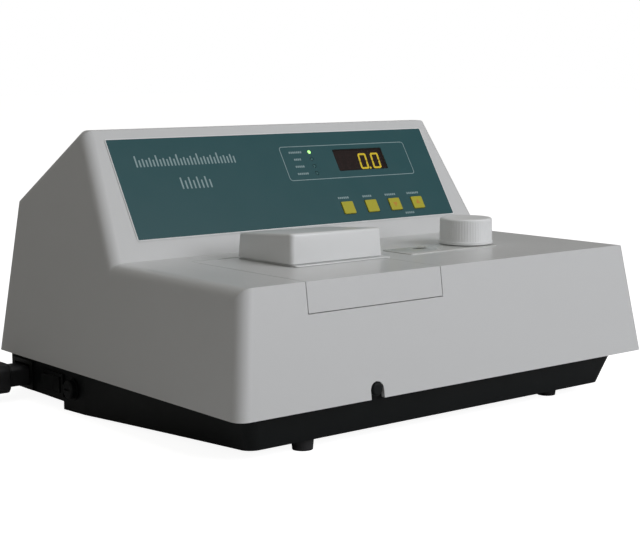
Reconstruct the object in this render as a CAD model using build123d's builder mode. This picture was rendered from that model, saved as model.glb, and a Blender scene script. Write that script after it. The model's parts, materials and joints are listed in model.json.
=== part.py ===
from build123d import *
import math
import os

# A bench spectrophotometer: a drafted moulded cover over a black base tub, with a hinged sample
# lid, a wavelength knob, a sloping keypad panel, and the optics and boards inside.
# Millimetres. +Z is up, the front faces -Y, and the origin is on the table under the middle
# of the cover's rim.
os.makedirs("parts", exist_ok=True)

# ---- Clearances -------------------------------------------------------------------------------
seam = 0.6              # gap round the lid, where it shows
trim_gap = 0.3          # gap round keys, panels and windows
run_gap = 0.05          # radial clearance of a shaft in its bearing
slide_gap = 0.4         # between a sliding or turning piece and what it passes

# ---- Cover ------------------------------------------------------------------------------------
rim_width = 370.0
rim_depth = 316.0
rim_height = 31.5       # the cover's rim above the table
deck_height = 110.0
hood_height = 197.7
side_draft = 0.138      # slope of the side and front walls, mm inwards per mm up
rear_draft = 0.068
face_foot_y = 3.2       # where the sloping face leaves the deck
face_top_y = 57.7
ridge_depth = 8.0
knee_y = 150.3          # where the rear slope meets the rear wall
knee_height = 144.0
cover_wall = 3.0
outline_radius = 9.0    # rounding of the corners in the side view
side_radius = 8.4       # rounding along both sides
post_radius = 5.0
post_x = 145.0
post_ys = (-118.0, 132.0)
post_lift = 12.0        # from the optical bench's top to the foot of a post
screw_hole_radius = 1.6
screw_reach = 16.0      # depth of the screw's hole in a post
slot_count = 9          # air slots in the rear wall
slot_pitch = 9.0
slot_size = (3.4, 44.0)
slot_height = 90.0
half_rim = rim_depth / 2
front_edge_y = -half_rim + side_draft * (deck_height - rim_height)


def side_y(z):
    """How far the front wall's outside stands from the middle at a height."""
    return -half_rim + side_draft * (z - rim_height)


# ---- Sloping face and what it carries: u is measured right, v down from the hood's edge ---------
face_length = math.hypot(face_top_y - face_foot_y, hood_height - deck_height)
face_normal = ((hood_height - deck_height) / face_length, (face_top_y - face_foot_y) / face_length)
face_plane = Plane(
    origin=(0, face_top_y, hood_height), x_dir=(1, 0, 0), z_dir=(0, -face_normal[0], face_normal[1])
)
panel_width = 297.8
panel_height = 79.3
panel_u = 1.15          # middle of the panel
panel_v = 47.9
panel_thickness = 1.2
panel_recess = 0.8      # depth of the pocket that the panel lies in
window_width = 50.2
window_height = 19.2
window_u = 75.3
window_v = 33.7
window_thickness = 1.4
window_lip = 2.5        # how far the window's flange reaches behind the panel
led_radius = 1.5
led_u = 27.3
led_v = 25.2
led_pitch = 6.2
led_count = 4
key_width = 11.4
key_height = 10.4
key_u = 44.7            # first key
key_v = 75.4
key_pitch = 23.9
key_count = 4
key_proud = 0.9         # above the panel
key_travel = 0.5
key_flange = 1.2        # how far the flange behind the wall reaches past the cap
board_depth = 13.0      # keypad board behind the face
board_thickness = 1.6

# ---- Sample lid -------------------------------------------------------------------------------
lid_left = -125.7
lid_right = -13.5
lid_bottom = 90.5       # lower edge of the flap's front
lid_wall = 2.6
lid_ledge = 2.2
ledge_width = 6.0
ledge_reach = 4.0       # how far the ledge runs under the cover
hinge_y = -22.5
hinge_radius = 2.4
pin_radius = 1.0
hinge_height = deck_height - hinge_radius
hinge_boss = 5.0
block_left = -91.0
block_right = -18.7
block_front = -90.5
block_rear = -24.9
block_bottom = 1.2      # the block's foot plate above the lid
block_height = 22.2     # its top above the deck
block_wall = 2.5
block_draft = 3.0       # degrees
block_corner = 2.6
plate_right = -14.6     # right edge of the foot plate

# ---- Sample chamber and cell rack -------------------------------------------------------------
chamber_left = -122.0
chamber_right = -17.0
chamber_front = -135.0
chamber_rear = -27.5
chamber_wall = 2.0
chamber_top = 103.6
beam_height = 62.0
beam_radius = 3.5
cell_side = 12.7
cell_pitch = 14.2
cell_count = 4
cell_depth = 34.0
rack_x = -76.5
rack_width = 17.0
rack_end = 1.5          # wall at each end of the rack
rack_rear_gap = 1.05    # between the rack, pushed in, and the chamber's rear wall
rack_length = cell_pitch * cell_count + rack_end
rack_rest_y = chamber_rear - chamber_wall - rack_rear_gap - rack_length   # the rack's front end
beam_y = rack_rest_y + (cell_pitch + rack_end) / 2      # through the first cell
rack_top = 80.0
rail_radius = 2.0
rail_offset = 4.5       # each guide rail from the rack's middle
rail_height = 33.0
rod_radius = 2.5
rod_height = 37.6
rod_grip = 10.0         # how far the rod runs into the rack
rod_tenon = 3.0         # how far it runs into its knob
rod_knob_radius = 4.4
rod_knob_length = 6.5
notch_width = 11.0
notch_top = 42.6

# ---- Wavelength knob and drive ----------------------------------------------------------------
knob_x = 86.0
knob_y = -69.2
knob_radius = 19.8
knob_height = 19.0
knob_band = 2.4
knob_ribs = 60
knob_rib_radius = 0.75
knob_skirt = 3.0        # wall of the knob's cup
knob_top = 3.4          # thickness of its top
knob_bore = 14.0        # depth of the shaft's hole
knob_gap = 0.6          # above the plate
plate_thickness = 0.6
dial_plate_left = 14.0
dial_plate_half = 19.0
lens_x = 39.5
lens_length = 12.0
lens_width = 7.0
shaft_radius = 3.0
bush_radius = 5.0
gear_module = 1.0
pinion_teeth = 14
dial_teeth = 88
tooth_height = 0.78     # above and below the pitch circle, in modules
tooth_root = 1.0
tooth_backlash = 0.34   # taken off each tooth's width
tooth_slope = math.tan(math.radians(20))
gear_gap = 0.15         # extra distance between the gears' axes
dial_direction = 140.0  # where the dial lies, seen from the knob
dial_top = 101.6
dial_thickness = 4.0
dial_hub_radius = 7.0
scale_thickness = 0.4
scale_outer = gear_module * dial_teeth / 2 - 4.0
scale_inner = scale_outer - 12.0
pinion_margin = 1.0     # how far the pinion stands past the dial gear, above and below
dial_reach = (-98.2, 201.8)     # degrees that the dial turns from rest
arm_centre_distance = 40.0
arm_direction = 150.0   # where the arm's pivot lies, seen from the dial's axis
arm_length = 30.0
arm_rest_angle = 24.8   # between the arm and the line to the dial's axis
arm_ratio = 26.0 / 300.0
arm_thickness = 2.4
arm_width = 8.0
arm_hub_radius = 5.5
arm_hub_height = 3.0
follower_radius = 3.0
follower_gap = 0.35
cam_step = 15.0         # degrees between the cam's worked-out points

# ---- Optical bench, monochromator, lamp and detector ------------------------------------------
bench_bottom = 20.0
bench_thickness = 6.0
bench_half = 156.0
bench_front = -136.0
bench_rear = 98.0
bench_top = bench_bottom + bench_thickness
mono_left = -10.0
mono_right = 120.0
mono_front = -130.0
mono_rear = 10.0
mono_wall = 4.0
mono_top = 86.0
mono_lid = 4.0
slit_thickness = 1.4
slit_radius = 9.0
slit_width = 0.8
lamp_x = 101.0
lamp_y = 62.0
lamp_house = (50.0, 46.0, 70.0)
lamp_wall = 2.5
lens_radius = 12.0
collimator_side = 26.0
focus_side = 20.0
mirror_thickness = 5.0
mirror_foot = 3.0
entrance_x = 101.0      # where the light enters the monochromator
focus_x = 82.0
collimator_turn = 110.0
focus_turn = 25.0
grating_side = 25.0
grating_thickness = 5.5
grating_turn = 45.0
mount_depth = 9.0
mount_block = 12.0
mount_end = 3.0
detector_left = -156.0
detector_depth = 44.0
detector_wall = 2.5
detector_top = 92.0
shutter_thickness = 1.2
shutter_y = -100.0
shutter_height = 72.0
shutter_pin_radius = 1.5
shutter_hub_radius = 4.5
shutter_vane_radius = 6.5
shutter_arm_width = 5.0

# ---- Base tub ---------------------------------------------------------------------------------
tub_front_half = rim_width / 2 - 21.5   # half width at the front, at the underside
tub_front_slope = 0.38
tub_right_half = rim_width / 2 - 31.2   # the same on the right, which is set further in
tub_right_slope = 0.43
tub_rear_half = rim_width / 2 - 5.7
tub_square_y = 36.0     # from here back the side walls are upright
tub_bottom = 8.0
tub_top = 45.0
tub_front_y = -half_rim + 17.5
tub_front_rake = 0.30
tub_rear_y = half_rim - 6.0
tub_rear_bottom = 5.8
tub_wall = 3.0
tub_corner = 9.0
skid_end_y = 66.0       # where the side skids reach the table
skid_inner = 150.0
foot_radius = 7.5
foot_places = ((-116.0, -130.0), (120.5, -120.0), (-120.5, 118.0), (120.5, 118.0))
boss_radius = 6.0
boss_x = 134.0
recess_size = (4.6, 3.0, 4.2)
recess_xs = (-101.0, -65.7)

# ---- Mains side, on the tub's left wall -------------------------------------------------------
inlet_y = 126.0
inlet_height = 17.2
inlet_size = (28.0, 20.0)
inlet_depth = 24.0
inlet_flange = (31.6, 21.6)
flange_thickness = 1.6
pin_blade = (2.0, 4.0)
pin_places = ((-7, -2), (7, -2), (0, 2.4))     # from the inlet's middle
rocker_y = 79.5
rocker_height = 17.4
rocker_size = (25.0, 11.0)
rocker_bezel = (31.0, 16.4)
rocker_depth = 16.0
rocker_pivot = (1.5, 1.2)       # how far inside the wall's face, and its radius
fuse_y = 50.5
fuse_height = 17.4
fuse_radius = 6.0
fuse_cap_radius = 6.6
fuse_depth = 20.0
fuse_bore = 4.2
fuse_spigot = 14.0

# ---- Cord: the connector, the cord's route and its coil ---------------------------------------
plug_body = 20.0        # the connector's length outside the inlet
plug_size = (26.6, 20.6)
plug_insert = 15.0
plug_insert_size = (22.0, 14.6)
grip_length = 24.0
grip_size = (25.0, 20.0)
grip_drop = 1.6         # how far the grip sits below the body
plug_corner = 4.0
relief_length = 26.0
relief_radii = (7.2, 4.6)
cord_radius = 3.5
coil_centre = (-337.0, 86.0)
coil_inner = 24.4
coil_outer = 46.0
coil_height = 14.4
mains_plug_size = (26.0, 40.0, 20.0)
mains_blade = (1.6, 16.0, 6.3)
blade_places = ((-6.5, -3), (6.5, -3), (0, 4))  # from the plug's middle
route = [
    (-249.3, 126.0, 15.4),
    (-266.0, 126.0, 14.6),
    (-285.0, 127.0, 8.4),
    (-306.0, 128.3, 3.6),
    (-328.0, 128.0, 3.5),
]
tail = [
    (-379.4, 84.0, 10.7),
    (-379.0, 66.0, 9.6),
    (-376.5, 46.0, 9.8),
    (-374.0, 30.0, 10.0),
]


# ---- Shared shapes ----------------------------------------------------------------------------
def bar(x, y, z, mode=Mode.ADD):
    """A rectangular block between two corners."""
    with Locations(((x[0] + x[1]) / 2, (y[0] + y[1]) / 2, (z[0] + z[1]) / 2)):
        Box(x[1] - x[0], y[1] - y[0], z[1] - z[0], mode=mode)


def round_bar(base, direction, radius, length, mode=Mode.ADD):
    """A cylinder that starts at a point and runs along a direction."""
    with Locations(Plane(origin=base, z_dir=direction)):
        Cylinder(radius, length, align=(Align.CENTER, Align.CENTER, Align.MIN), mode=mode)


def taper_bar(base, direction, radii, length, mode=Mode.ADD):
    """A cone that starts at a point and runs along a direction."""
    with Locations(Plane(origin=base, z_dir=direction)):
        Cone(radii[0], radii[1], length, align=(Align.CENTER, Align.CENTER, Align.MIN), mode=mode)


def save(part, name):
    """Label a finished piece and write it."""
    part.part.label = name
    export_step(part.part, f"parts/{name}.step")


def polar(centre, radius, degrees):
    """A point round a centre, in plan."""
    angle = math.radians(degrees)
    return (centre[0] + radius * math.cos(angle), centre[1] + radius * math.sin(angle))


up = (0, 0, 1)
left = (-1, 0, 0)
right = (1, 0, 0)
back = (0, 1, 0)
front = (0, -1, 0)


def cover_form(inset):
    """The cover's outer form, moved in by a wall's thickness, open-ended below the rim."""
    drop = 4 * inset            # an inner form runs on below the rim, so that it opens it
    low = rim_height - drop
    reach = side_draft * drop
    with BuildPart() as form:
        with BuildSketch(Plane.YZ):
            with BuildLine():
                Polyline(
                    (side_y(low), low),
                    (front_edge_y, deck_height),
                    (face_foot_y, deck_height),
                    (face_top_y, hood_height),
                    (face_top_y + ridge_depth, hood_height),
                    (knee_y, knee_height),
                    (half_rim + rear_draft * drop, low),
                    close=True,
                )
            corners = make_face().vertices().filter_by(lambda v: v.Z > low + drop + 1)
            fillet(corners, outline_radius)
            if inset:
                offset(amount=-inset, kind=Kind.INTERSECTION)
        extrude(amount=rim_width, both=True)
        top = hood_height + inset
        half_low = rim_width / 2 + reach - inset
        half_top = half_low - side_draft * (top - low)
        with BuildSketch(Plane.XZ):
            with BuildLine():
                Polyline(
                    (-half_low, low), (-half_top, top), (half_top, top), (half_low, low), close=True
                )
            make_face()
        extrude(amount=rim_depth, both=True, mode=Mode.INTERSECT)
        sides = form.faces().filter_by(
            lambda f: abs(f.normal_at().X) > 0.9 and abs(f.center().X) > rim_width / 3
        )
        chain = [e for f in sides for e in f.edges() if e.center().Z > low + 0.5]
        fillet(chain, side_radius - inset)
    return form.part


outer_form = cover_form(0)
inner_form = cover_form(cover_wall)
lid_inner_form = cover_form(lid_wall)
ledge_outer_form = cover_form(cover_wall - 0.1)
ledge_inner_form = cover_form(cover_wall - 0.1 + lid_ledge)
notch_x = rack_x
knob_base = deck_height + plate_thickness + knob_gap
dial_x, dial_y = polar(
    (knob_x, knob_y), gear_module * (pinion_teeth + dial_teeth) / 2 + gear_gap, dial_direction
)
arm_x, arm_y = polar((dial_x, dial_y), arm_centre_distance, arm_direction)
mono_cover_top = mono_top + mono_lid


# ---- Cover ------------------------------------------------------------------------------------
def lid_region(grow, bottom):
    """The space that the lid takes out of the cover: all in front of its hinge."""
    bar(
        (lid_left - grow, lid_right + grow),
        (-rim_depth, hinge_y + hinge_radius + slide_gap),
        (bottom - grow, hood_height),
    )


def face_cut(u, v, width, height, radius, depth, start=0.0):
    """Cut a rounded rectangle into the sloping face, from a depth inwards."""
    with BuildSketch(face_plane.offset(-start)) as outline:
        with Locations((u, -v)):
            RectangleRounded(width, height, radius)
    extrude(outline.sketch, amount=-depth, mode=Mode.SUBTRACT)


with BuildPart() as lid_space:
    lid_region(seam, lid_bottom)

with BuildPart() as lid_ledges:
    add(ledge_outer_form)
    add(ledge_inner_form, mode=Mode.SUBTRACT)
    bar(
        (lid_left - ledge_reach, lid_right + ledge_reach),
        (-rim_depth, hinge_y - hinge_radius - seam),
        (lid_bottom - ledge_reach, deck_height),
        mode=Mode.INTERSECT,
    )
    bar(
        (lid_left + ledge_width, lid_right - ledge_width),
        (-rim_depth, 0),
        (lid_bottom + ledge_width, hood_height),
        mode=Mode.SUBTRACT,
    )

post_places = [(sx * post_x, y) for sx in (-1, 1) for y in post_ys]
post_base = bench_top + post_lift

with BuildPart() as cover_posts:
    for x, y in post_places:
        round_bar((x, y, post_base), up, post_radius, hood_height)
    add(outer_form, mode=Mode.INTERSECT)

with BuildPart() as top_cover:
    add(outer_form)
    add(inner_form, mode=Mode.SUBTRACT)
    add(cover_posts.part)
    for x, y in post_places:
        round_bar((x, y, post_base - 1), up, screw_hole_radius, screw_reach, mode=Mode.SUBTRACT)
    add(lid_space.part, mode=Mode.SUBTRACT)
    add(lid_ledges.part)
    # Bosses under the deck, one at each end of the hinge pin.
    for x in (lid_left - seam - hinge_boss, lid_right + seam):
        bar(
            (x, x + hinge_boss),
            (hinge_y - 2 * hinge_radius, hinge_y + 2 * hinge_radius),
            (hinge_height - 2 * hinge_radius, deck_height - cover_wall / 2),
        )
    round_bar(
        (lid_left - seam - hinge_boss + 1, hinge_y, hinge_height),
        right,
        pin_radius,
        lid_right - lid_left + 2 * (seam + hinge_boss) - 2,
        mode=Mode.SUBTRACT,
    )
    # The wavelength knob's bush, the dial's lens and the notch for the rack's pull rod.
    round_bar((knob_x, knob_y, deck_height - 8), up, bush_radius, 12, mode=Mode.SUBTRACT)
    with BuildSketch(Plane.XY.offset(deck_height - 8)):
        with Locations((lens_x, knob_y)):
            SlotOverall(lens_length - 1.0, lens_width - 1.0)
    extrude(amount=12, mode=Mode.SUBTRACT)
    with BuildSketch(Plane.XZ.offset(half_rim - 20)):
        with Locations((notch_x, notch_top - notch_width / 2)):
            Circle(notch_width / 2)
        with Locations((notch_x, rim_height - 1)):
            Rectangle(
                notch_width, notch_top - notch_width / 2 - rim_height + 1,
                align=(Align.CENTER, Align.MIN),
            )
    extrude(amount=25, mode=Mode.SUBTRACT)
    # The face's pocket, the window, the keys' and the lamps' holes.
    face_cut(
        panel_u, panel_v, panel_width + 2 * trim_gap, panel_height + 2 * trim_gap, 1.2,
        panel_recess + 3, start=-3,
    )
    face_cut(
        window_u, window_v, window_width + 2 * (window_lip + trim_gap),
        window_height + 2 * (window_lip + trim_gap), 1.0, 12,
    )
    for index in range(key_count):
        face_cut(
            key_u + index * key_pitch, key_v, key_width + 2 * trim_gap,
            key_height + 2 * trim_gap, 0.8, 12,
        )
    for index in range(led_count):
        face_cut(
            led_u, led_v + index * led_pitch, 2 * led_radius + 2 * trim_gap,
            2 * led_radius + 2 * trim_gap, led_radius, 12,
        )
    # Air slots in the rear wall, behind the lamp.
    with Locations((lamp_x, half_rim, slot_height)):
        with GridLocations(slot_pitch, 1, slot_count, 1):
            Box(slot_size[0], 10 * cover_wall, slot_size[1], mode=Mode.SUBTRACT)
save(top_cover, "top_cover")

with BuildPart() as keypad_panel:
    with BuildSketch(face_plane.offset(-panel_recess)):
        with Locations((panel_u, -panel_v)):
            RectangleRounded(panel_width, panel_height, 1.0)
        with Locations((window_u, -window_v)):
            RectangleRounded(window_width, window_height, 1.0, mode=Mode.SUBTRACT)
        for index in range(key_count):
            with Locations((key_u + index * key_pitch, -key_v)):
                RectangleRounded(
                    key_width + 2 * trim_gap, key_height + 2 * trim_gap, 0.8, mode=Mode.SUBTRACT
                )
        for index in range(led_count):
            with Locations((led_u, -led_v - index * led_pitch)):
                Circle(led_radius + trim_gap / 2, mode=Mode.SUBTRACT)
    extrude(amount=panel_thickness)
save(keypad_panel, "keypad_panel")

with BuildPart() as display_window:
    with BuildSketch(face_plane.offset(-panel_recess - window_thickness)):
        with Locations((window_u, -window_v)):
            RectangleRounded(
                window_width + 2 * window_lip, window_height + 2 * window_lip, 1.0
            )
    extrude(amount=window_thickness)
    with BuildSketch(face_plane.offset(-panel_recess)):
        with Locations((window_u, -window_v)):
            RectangleRounded(window_width - 2 * trim_gap, window_height - 2 * trim_gap, 0.8)
    extrude(amount=panel_thickness - 0.2)
save(display_window, "display_window")

module_top = panel_recess + window_thickness + trim_gap

with BuildPart() as display_module:
    with BuildSketch(face_plane.offset(-board_depth)):
        with Locations((window_u, -window_v)):
            Rectangle(window_width, window_height)
    extrude(amount=board_depth - module_top)
save(display_module, "display_module")

with BuildPart() as indicator_leds:
    for index in range(led_count):
        with BuildSketch(face_plane.offset(-board_depth)):
            with Locations((led_u, -led_v - index * led_pitch)):
                Circle(led_radius)
        extrude(amount=board_depth + panel_thickness - panel_recess + 0.3)
    crowns = indicator_leds.edges().filter_by(GeomType.CIRCLE).filter_by(
        lambda e: face_plane.to_local_coords(e.center()).Z > 0
    )
    fillet(crowns, 0.9)
save(indicator_leds, "indicator_leds")

switch_side = 6.0
key_flange_thickness = 1.4

for index in range(key_count):
    with BuildPart() as key:
        with BuildSketch(face_plane.offset(-(cover_wall + trim_gap))):
            with Locations((key_u + index * key_pitch, -key_v)):
                RectangleRounded(key_width, key_height, 0.8)
        extrude(amount=cover_wall + trim_gap + panel_thickness - panel_recess + key_proud)
        crown = key.faces().sort_by(Axis((0, 0, 0), (0, -face_normal[0], face_normal[1])))[-1]
        fillet(crown.edges(), 0.4)
        with BuildSketch(face_plane.offset(-(cover_wall + trim_gap))):
            with Locations((key_u + index * key_pitch, -key_v)):
                RectangleRounded(key_width + 2 * key_flange, key_height + 2 * key_flange, 1.0)
        extrude(amount=-key_flange_thickness)
    save(key, f"key_{index + 1}")

key_rear = cover_wall + trim_gap + key_flange_thickness

with BuildPart() as keypad_board:
    board_left = led_u - 14
    board_right = window_u + window_width / 2 + 34
    board_high = led_v - 14
    board_low = key_v + 9
    with BuildSketch(face_plane.offset(-board_depth)):
        with Locations(((board_left + board_right) / 2, -(board_high + board_low) / 2)):
            Rectangle(board_right - board_left, board_low - board_high)
    extrude(amount=-board_thickness)
    for index in range(key_count):
        with BuildSketch(face_plane.offset(-board_depth)):
            with Locations((key_u + index * key_pitch, -key_v)):
                Rectangle(switch_side, switch_side)
        extrude(amount=board_depth - key_rear - key_travel - slide_gap)
save(keypad_board, "keypad_board")

with BuildPart() as board_studs:
    for u in (board_left + 4, board_right - 4):
        for v in (board_high + 4, board_low - 4):
            with BuildSketch(face_plane.offset(-cover_wall)):
                with Locations((u, -v)):
                    Circle(2.5)
            extrude(amount=-(board_depth - cover_wall))
save(board_studs, "board_studs")

# ---- Lid --------------------------------------------------------------------------------------
with BuildPart() as lid_flap:
    add(outer_form)
    add(lid_inner_form, mode=Mode.SUBTRACT)
    bar((lid_left, lid_right), (-rim_depth, hinge_y), (lid_bottom, deck_height + 1), mode=Mode.INTERSECT)
    round_bar(
        (lid_left, hinge_y, hinge_height), right, hinge_radius, lid_right - lid_left
    )
    round_bar(
        (lid_left - 1, hinge_y, hinge_height), right, pin_radius + run_gap,
        lid_right - lid_left + 2, mode=Mode.SUBTRACT,
    )
save(lid_flap, "lid_flap")

with BuildPart() as lid_block:
    plan = ((block_left + block_right) / 2, (block_front + block_rear) / 2)
    with BuildSketch(Plane.XY.offset(deck_height + block_bottom)):
        with Locations(plan):
            RectangleRounded(block_right - block_left, block_rear - block_front, block_corner)
    extrude(amount=block_height - block_bottom, taper=block_draft)
    fillet(lid_block.faces().sort_by(Axis.Z)[-1].edges(), 1.8)
    with BuildSketch(Plane.XY.offset(deck_height + block_bottom)):
        with Locations(plan):
            RectangleRounded(
                block_right - block_left - 2 * block_wall,
                block_rear - block_front - 2 * block_wall, 1.0,
            )
    extrude(amount=block_height - block_bottom - block_wall, taper=block_draft, mode=Mode.SUBTRACT)
    with BuildSketch(Plane.XY.offset(deck_height + 0.4)):
        with Locations(((block_left + 0.8 + plate_right) / 2, plan[1])):
            RectangleRounded(
                plate_right - block_left - 0.8, block_rear - block_front - 1.6, 1.6
            )
    extrude(amount=block_bottom - 0.4)
    with BuildSketch(Plane.XY.offset(deck_height)):
        with Locations(plan):
            RectangleRounded(
                block_right - block_left - 5, block_rear - block_front - 5, 1.6
            )
    extrude(amount=0.4)
save(lid_block, "lid_block")

with BuildPart() as lid_pin:
    round_bar(
        (lid_left - seam - hinge_boss + 1, hinge_y, hinge_height), right, pin_radius,
        lid_right - lid_left + 2 * (seam + hinge_boss) - 2,
    )
save(lid_pin, "lid_hinge_pin")

# ---- Base tub ---------------------------------------------------------------------------------
def tub_form(inset):
    """The tub's body between its slanting front and square rear, moved in by a wall."""
    low = tub_bottom - 14
    top = tub_top + inset
    left_low = -tub_front_half - tub_front_slope * (low - tub_bottom) + inset
    left_top = -tub_front_half - tub_front_slope * (tub_top - tub_bottom) + inset
    right_low = tub_right_half + tub_right_slope * (low - tub_bottom) - inset
    right_top = tub_right_half + tub_right_slope * (tub_top - tub_bottom) - inset
    half_rear = tub_rear_half - inset
    rear = tub_rear_y - inset
    with BuildPart() as form:
        with BuildSketch(Plane.XZ.offset(half_rim)):
            with BuildLine():
                Polyline(
                    (left_low, low), (left_top, top), (right_top, top), (right_low, low), close=True
                )
            make_face()
        with BuildSketch(Plane.XZ.offset(-tub_square_y)):
            with BuildLine():
                Polyline(
                    (-half_rear, low), (-half_rear, top), (half_rear, top), (half_rear, low), close=True
                )
            make_face()
        loft(ruled=True)
        bar((-half_rear, half_rear), (tub_square_y, rear), (low, top))
        with BuildSketch(Plane.YZ):
            with BuildLine():
                Polyline(
                    (tub_front_y + inset + tub_front_rake * (tub_bottom - low), low),
                    (tub_front_y + inset - tub_front_rake * (top - tub_bottom), top),
                    (rear, top),
                    (rear, low),
                    close=True,
                )
            make_face()
        extrude(amount=rim_width, both=True, mode=Mode.INTERSECT)
        uprights = form.edges().filter_by(lambda e: abs(e.tangent_at(0.5).Z) > 0.8)
        uprights = uprights.filter_by(lambda e: not tub_front_y + 30 < e.center().Y < rear - 1)
        fillet(uprights, tub_corner - inset)
    return form.part


wall_x = -tub_rear_half
bench_bosses = [(sx * boss_x, y) for sx in (-1, 1) for y in (bench_front + 22, -20.0, bench_rear - 12)]
tub_floor = tub_bottom + tub_wall

with BuildPart() as tub_hollow:
    add(tub_form(tub_wall))
    bar((-rim_width, rim_width), (-rim_depth, rim_depth), (-rim_height, tub_floor), mode=Mode.SUBTRACT)

with BuildPart() as base_tub:
    add(tub_form(0))
    # The underside: skids along both sides slope down to the table, then step up.
    with BuildSketch(Plane.YZ):
        with BuildLine():
            Polyline(
                (-rim_depth, tub_bottom),
                (tub_front_y, tub_bottom),
                (skid_end_y, 0),
                (skid_end_y, tub_rear_bottom),
                (rim_depth, tub_rear_bottom),
                (rim_depth, -rim_height),
                (-rim_depth, -rim_height),
                close=True,
            )
        make_face()
    extrude(amount=rim_width, both=True, mode=Mode.SUBTRACT)
    bar((-skid_inner, skid_inner), (-rim_depth, rim_depth), (-rim_height, tub_bottom), mode=Mode.SUBTRACT)
    add(tub_hollow.part, mode=Mode.SUBTRACT)
    # A lower pocket behind the mains inlet.
    bar(
        (wall_x + tub_wall, wall_x + inlet_depth + 2),
        (inlet_y - inlet_size[0] / 2 - 2, inlet_y + inlet_size[0] / 2 + 2),
        (inlet_height - inlet_size[1] / 2 - 0.2, tub_floor + 1),
        mode=Mode.SUBTRACT,
    )
    for x, y in bench_bosses:
        round_bar((x, y, tub_floor - 0.5), up, boss_radius, bench_bottom - tub_floor + 0.5)
    for x, y in post_places:
        round_bar((x, y, tub_floor - 0.5), up, post_radius + 1, post_base - tub_floor + 0.5)
        round_bar((x, y, -rim_height), up, screw_hole_radius + 0.4, hood_height, mode=Mode.SUBTRACT)
        round_bar((x, y, -rim_height), up, 3.6, rim_height + tub_floor + 8, mode=Mode.SUBTRACT)
    # The rod's hole and the two small recesses beside it.
    round_bar((rack_x, -half_rim, rod_height), back, rod_radius + slide_gap, 40, mode=Mode.SUBTRACT)
    for x in recess_xs:
        with Locations((x, tub_front_y - tub_front_rake * (rim_height - tub_bottom), rim_height - 1.6)):
            Box(*recess_size, mode=Mode.SUBTRACT)
    # Openings in the left wall for the inlet, the rocker and the fuse holder.
    bar(
        (wall_x - 1, wall_x + tub_wall + 1),
        (inlet_y - inlet_size[0] / 2, inlet_y + inlet_size[0] / 2),
        (inlet_height - inlet_size[1] / 2, inlet_height + inlet_size[1] / 2),
        mode=Mode.SUBTRACT,
    )
    bar(
        (wall_x - 1, wall_x + tub_wall + 1),
        (rocker_y - rocker_size[0] / 2 - 1, rocker_y + rocker_size[0] / 2 + 1),
        (rocker_height - rocker_size[1] / 2 - 0.8, rocker_height + rocker_size[1] / 2 + 0.8),
        mode=Mode.SUBTRACT,
    )
    round_bar((wall_x - 1, fuse_y, fuse_height), right, fuse_radius, tub_wall + 2, mode=Mode.SUBTRACT)
save(base_tub, "base_tub")

with BuildPart() as rubber_feet:
    for x, y in foot_places:
        taper_bar((x, y, 0), up, (foot_radius - 0.8, foot_radius), tub_bottom)
save(rubber_feet, "rubber_feet")

with BuildPart() as cover_screws:
    for x, y in post_places:
        head = tub_floor + 8
        round_bar((x, y, head - 2.6), up, 3.2, 2.6)
        round_bar((x, y, head), up, screw_hole_radius, post_base + 10 - head)
save(cover_screws, "cover_screws")

# ---- Optical bench ----------------------------------------------------------------------------
with BuildPart() as optical_bench:
    bar((-bench_half, bench_half), (bench_front, bench_rear), (bench_bottom, bench_top))
    fillet(optical_bench.edges().filter_by(Axis.Z), 14)
    for x, y in post_places:
        round_bar(
            (x, y, bench_bottom - 1), up, post_radius + 1.6, bench_thickness + 2, mode=Mode.SUBTRACT
        )
    for x, y in bench_bosses:
        round_bar(
            (x, y, bench_bottom - 1), up, screw_hole_radius + 0.3, bench_thickness + 2,
            mode=Mode.SUBTRACT,
        )
save(optical_bench, "optical_bench")

with BuildPart() as bench_screws:
    for x, y in bench_bosses:
        round_bar((x, y, bench_top), up, 3.5, 2.4)
        round_bar((x, y, bench_bottom), up, screw_hole_radius, bench_thickness)
save(bench_screws, "bench_screws")

# ---- Sample chamber and cell rack -------------------------------------------------------------
rod_bore = rod_radius + slide_gap

with BuildPart() as sample_chamber:
    bar((chamber_left, chamber_right), (chamber_front, chamber_rear), (bench_top, chamber_top))
    bar(
        (chamber_left + chamber_wall, chamber_right - chamber_wall),
        (chamber_front + chamber_wall, chamber_rear - chamber_wall),
        (bench_top + chamber_wall, chamber_top + 1),
        mode=Mode.SUBTRACT,
    )
    round_bar(
        (chamber_left - 1, beam_y, beam_height), right, beam_radius, chamber_right - chamber_left + 2,
        mode=Mode.SUBTRACT,
    )
    round_bar(
        (rack_x, chamber_front - 1, rod_height), back, rod_bore, chamber_wall + 2, mode=Mode.SUBTRACT
    )
save(sample_chamber, "sample_chamber")

with BuildPart() as guide_rails:
    for x in (rack_x - rail_offset, rack_x + rail_offset):
        round_bar(
            (x, chamber_front + chamber_wall, rail_height), back, rail_radius,
            chamber_rear - chamber_front - 2 * chamber_wall,
        )
save(guide_rails, "guide_rails")

rack_bottom = rail_height - rail_radius - 1.6

with BuildPart() as cell_rack:
    bar(
        (rack_x - rack_width / 2, rack_x + rack_width / 2),
        (rack_rest_y, rack_rest_y + rack_length),
        (rack_bottom, rack_top),
    )
    for index in range(cell_count):
        y = beam_y + index * cell_pitch
        bar(
            (rack_x - cell_side / 2, rack_x + cell_side / 2),
            (y - cell_side / 2, y + cell_side / 2),
            (rack_top - cell_depth, rack_top + 1),
            mode=Mode.SUBTRACT,
        )
        round_bar(
            (rack_x - rack_width, y, beam_height), right, beam_radius, 2 * rack_width,
            mode=Mode.SUBTRACT,
        )
    for x in (rack_x - rail_offset, rack_x + rail_offset):
        round_bar(
            (x, rack_rest_y - 1, rail_height), back, rail_radius + run_gap, rack_length + 2,
            mode=Mode.SUBTRACT,
        )
    round_bar(
        (rack_x, rack_rest_y - 1, rod_height), back, rod_radius, rod_grip + 1, mode=Mode.SUBTRACT
    )
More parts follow.
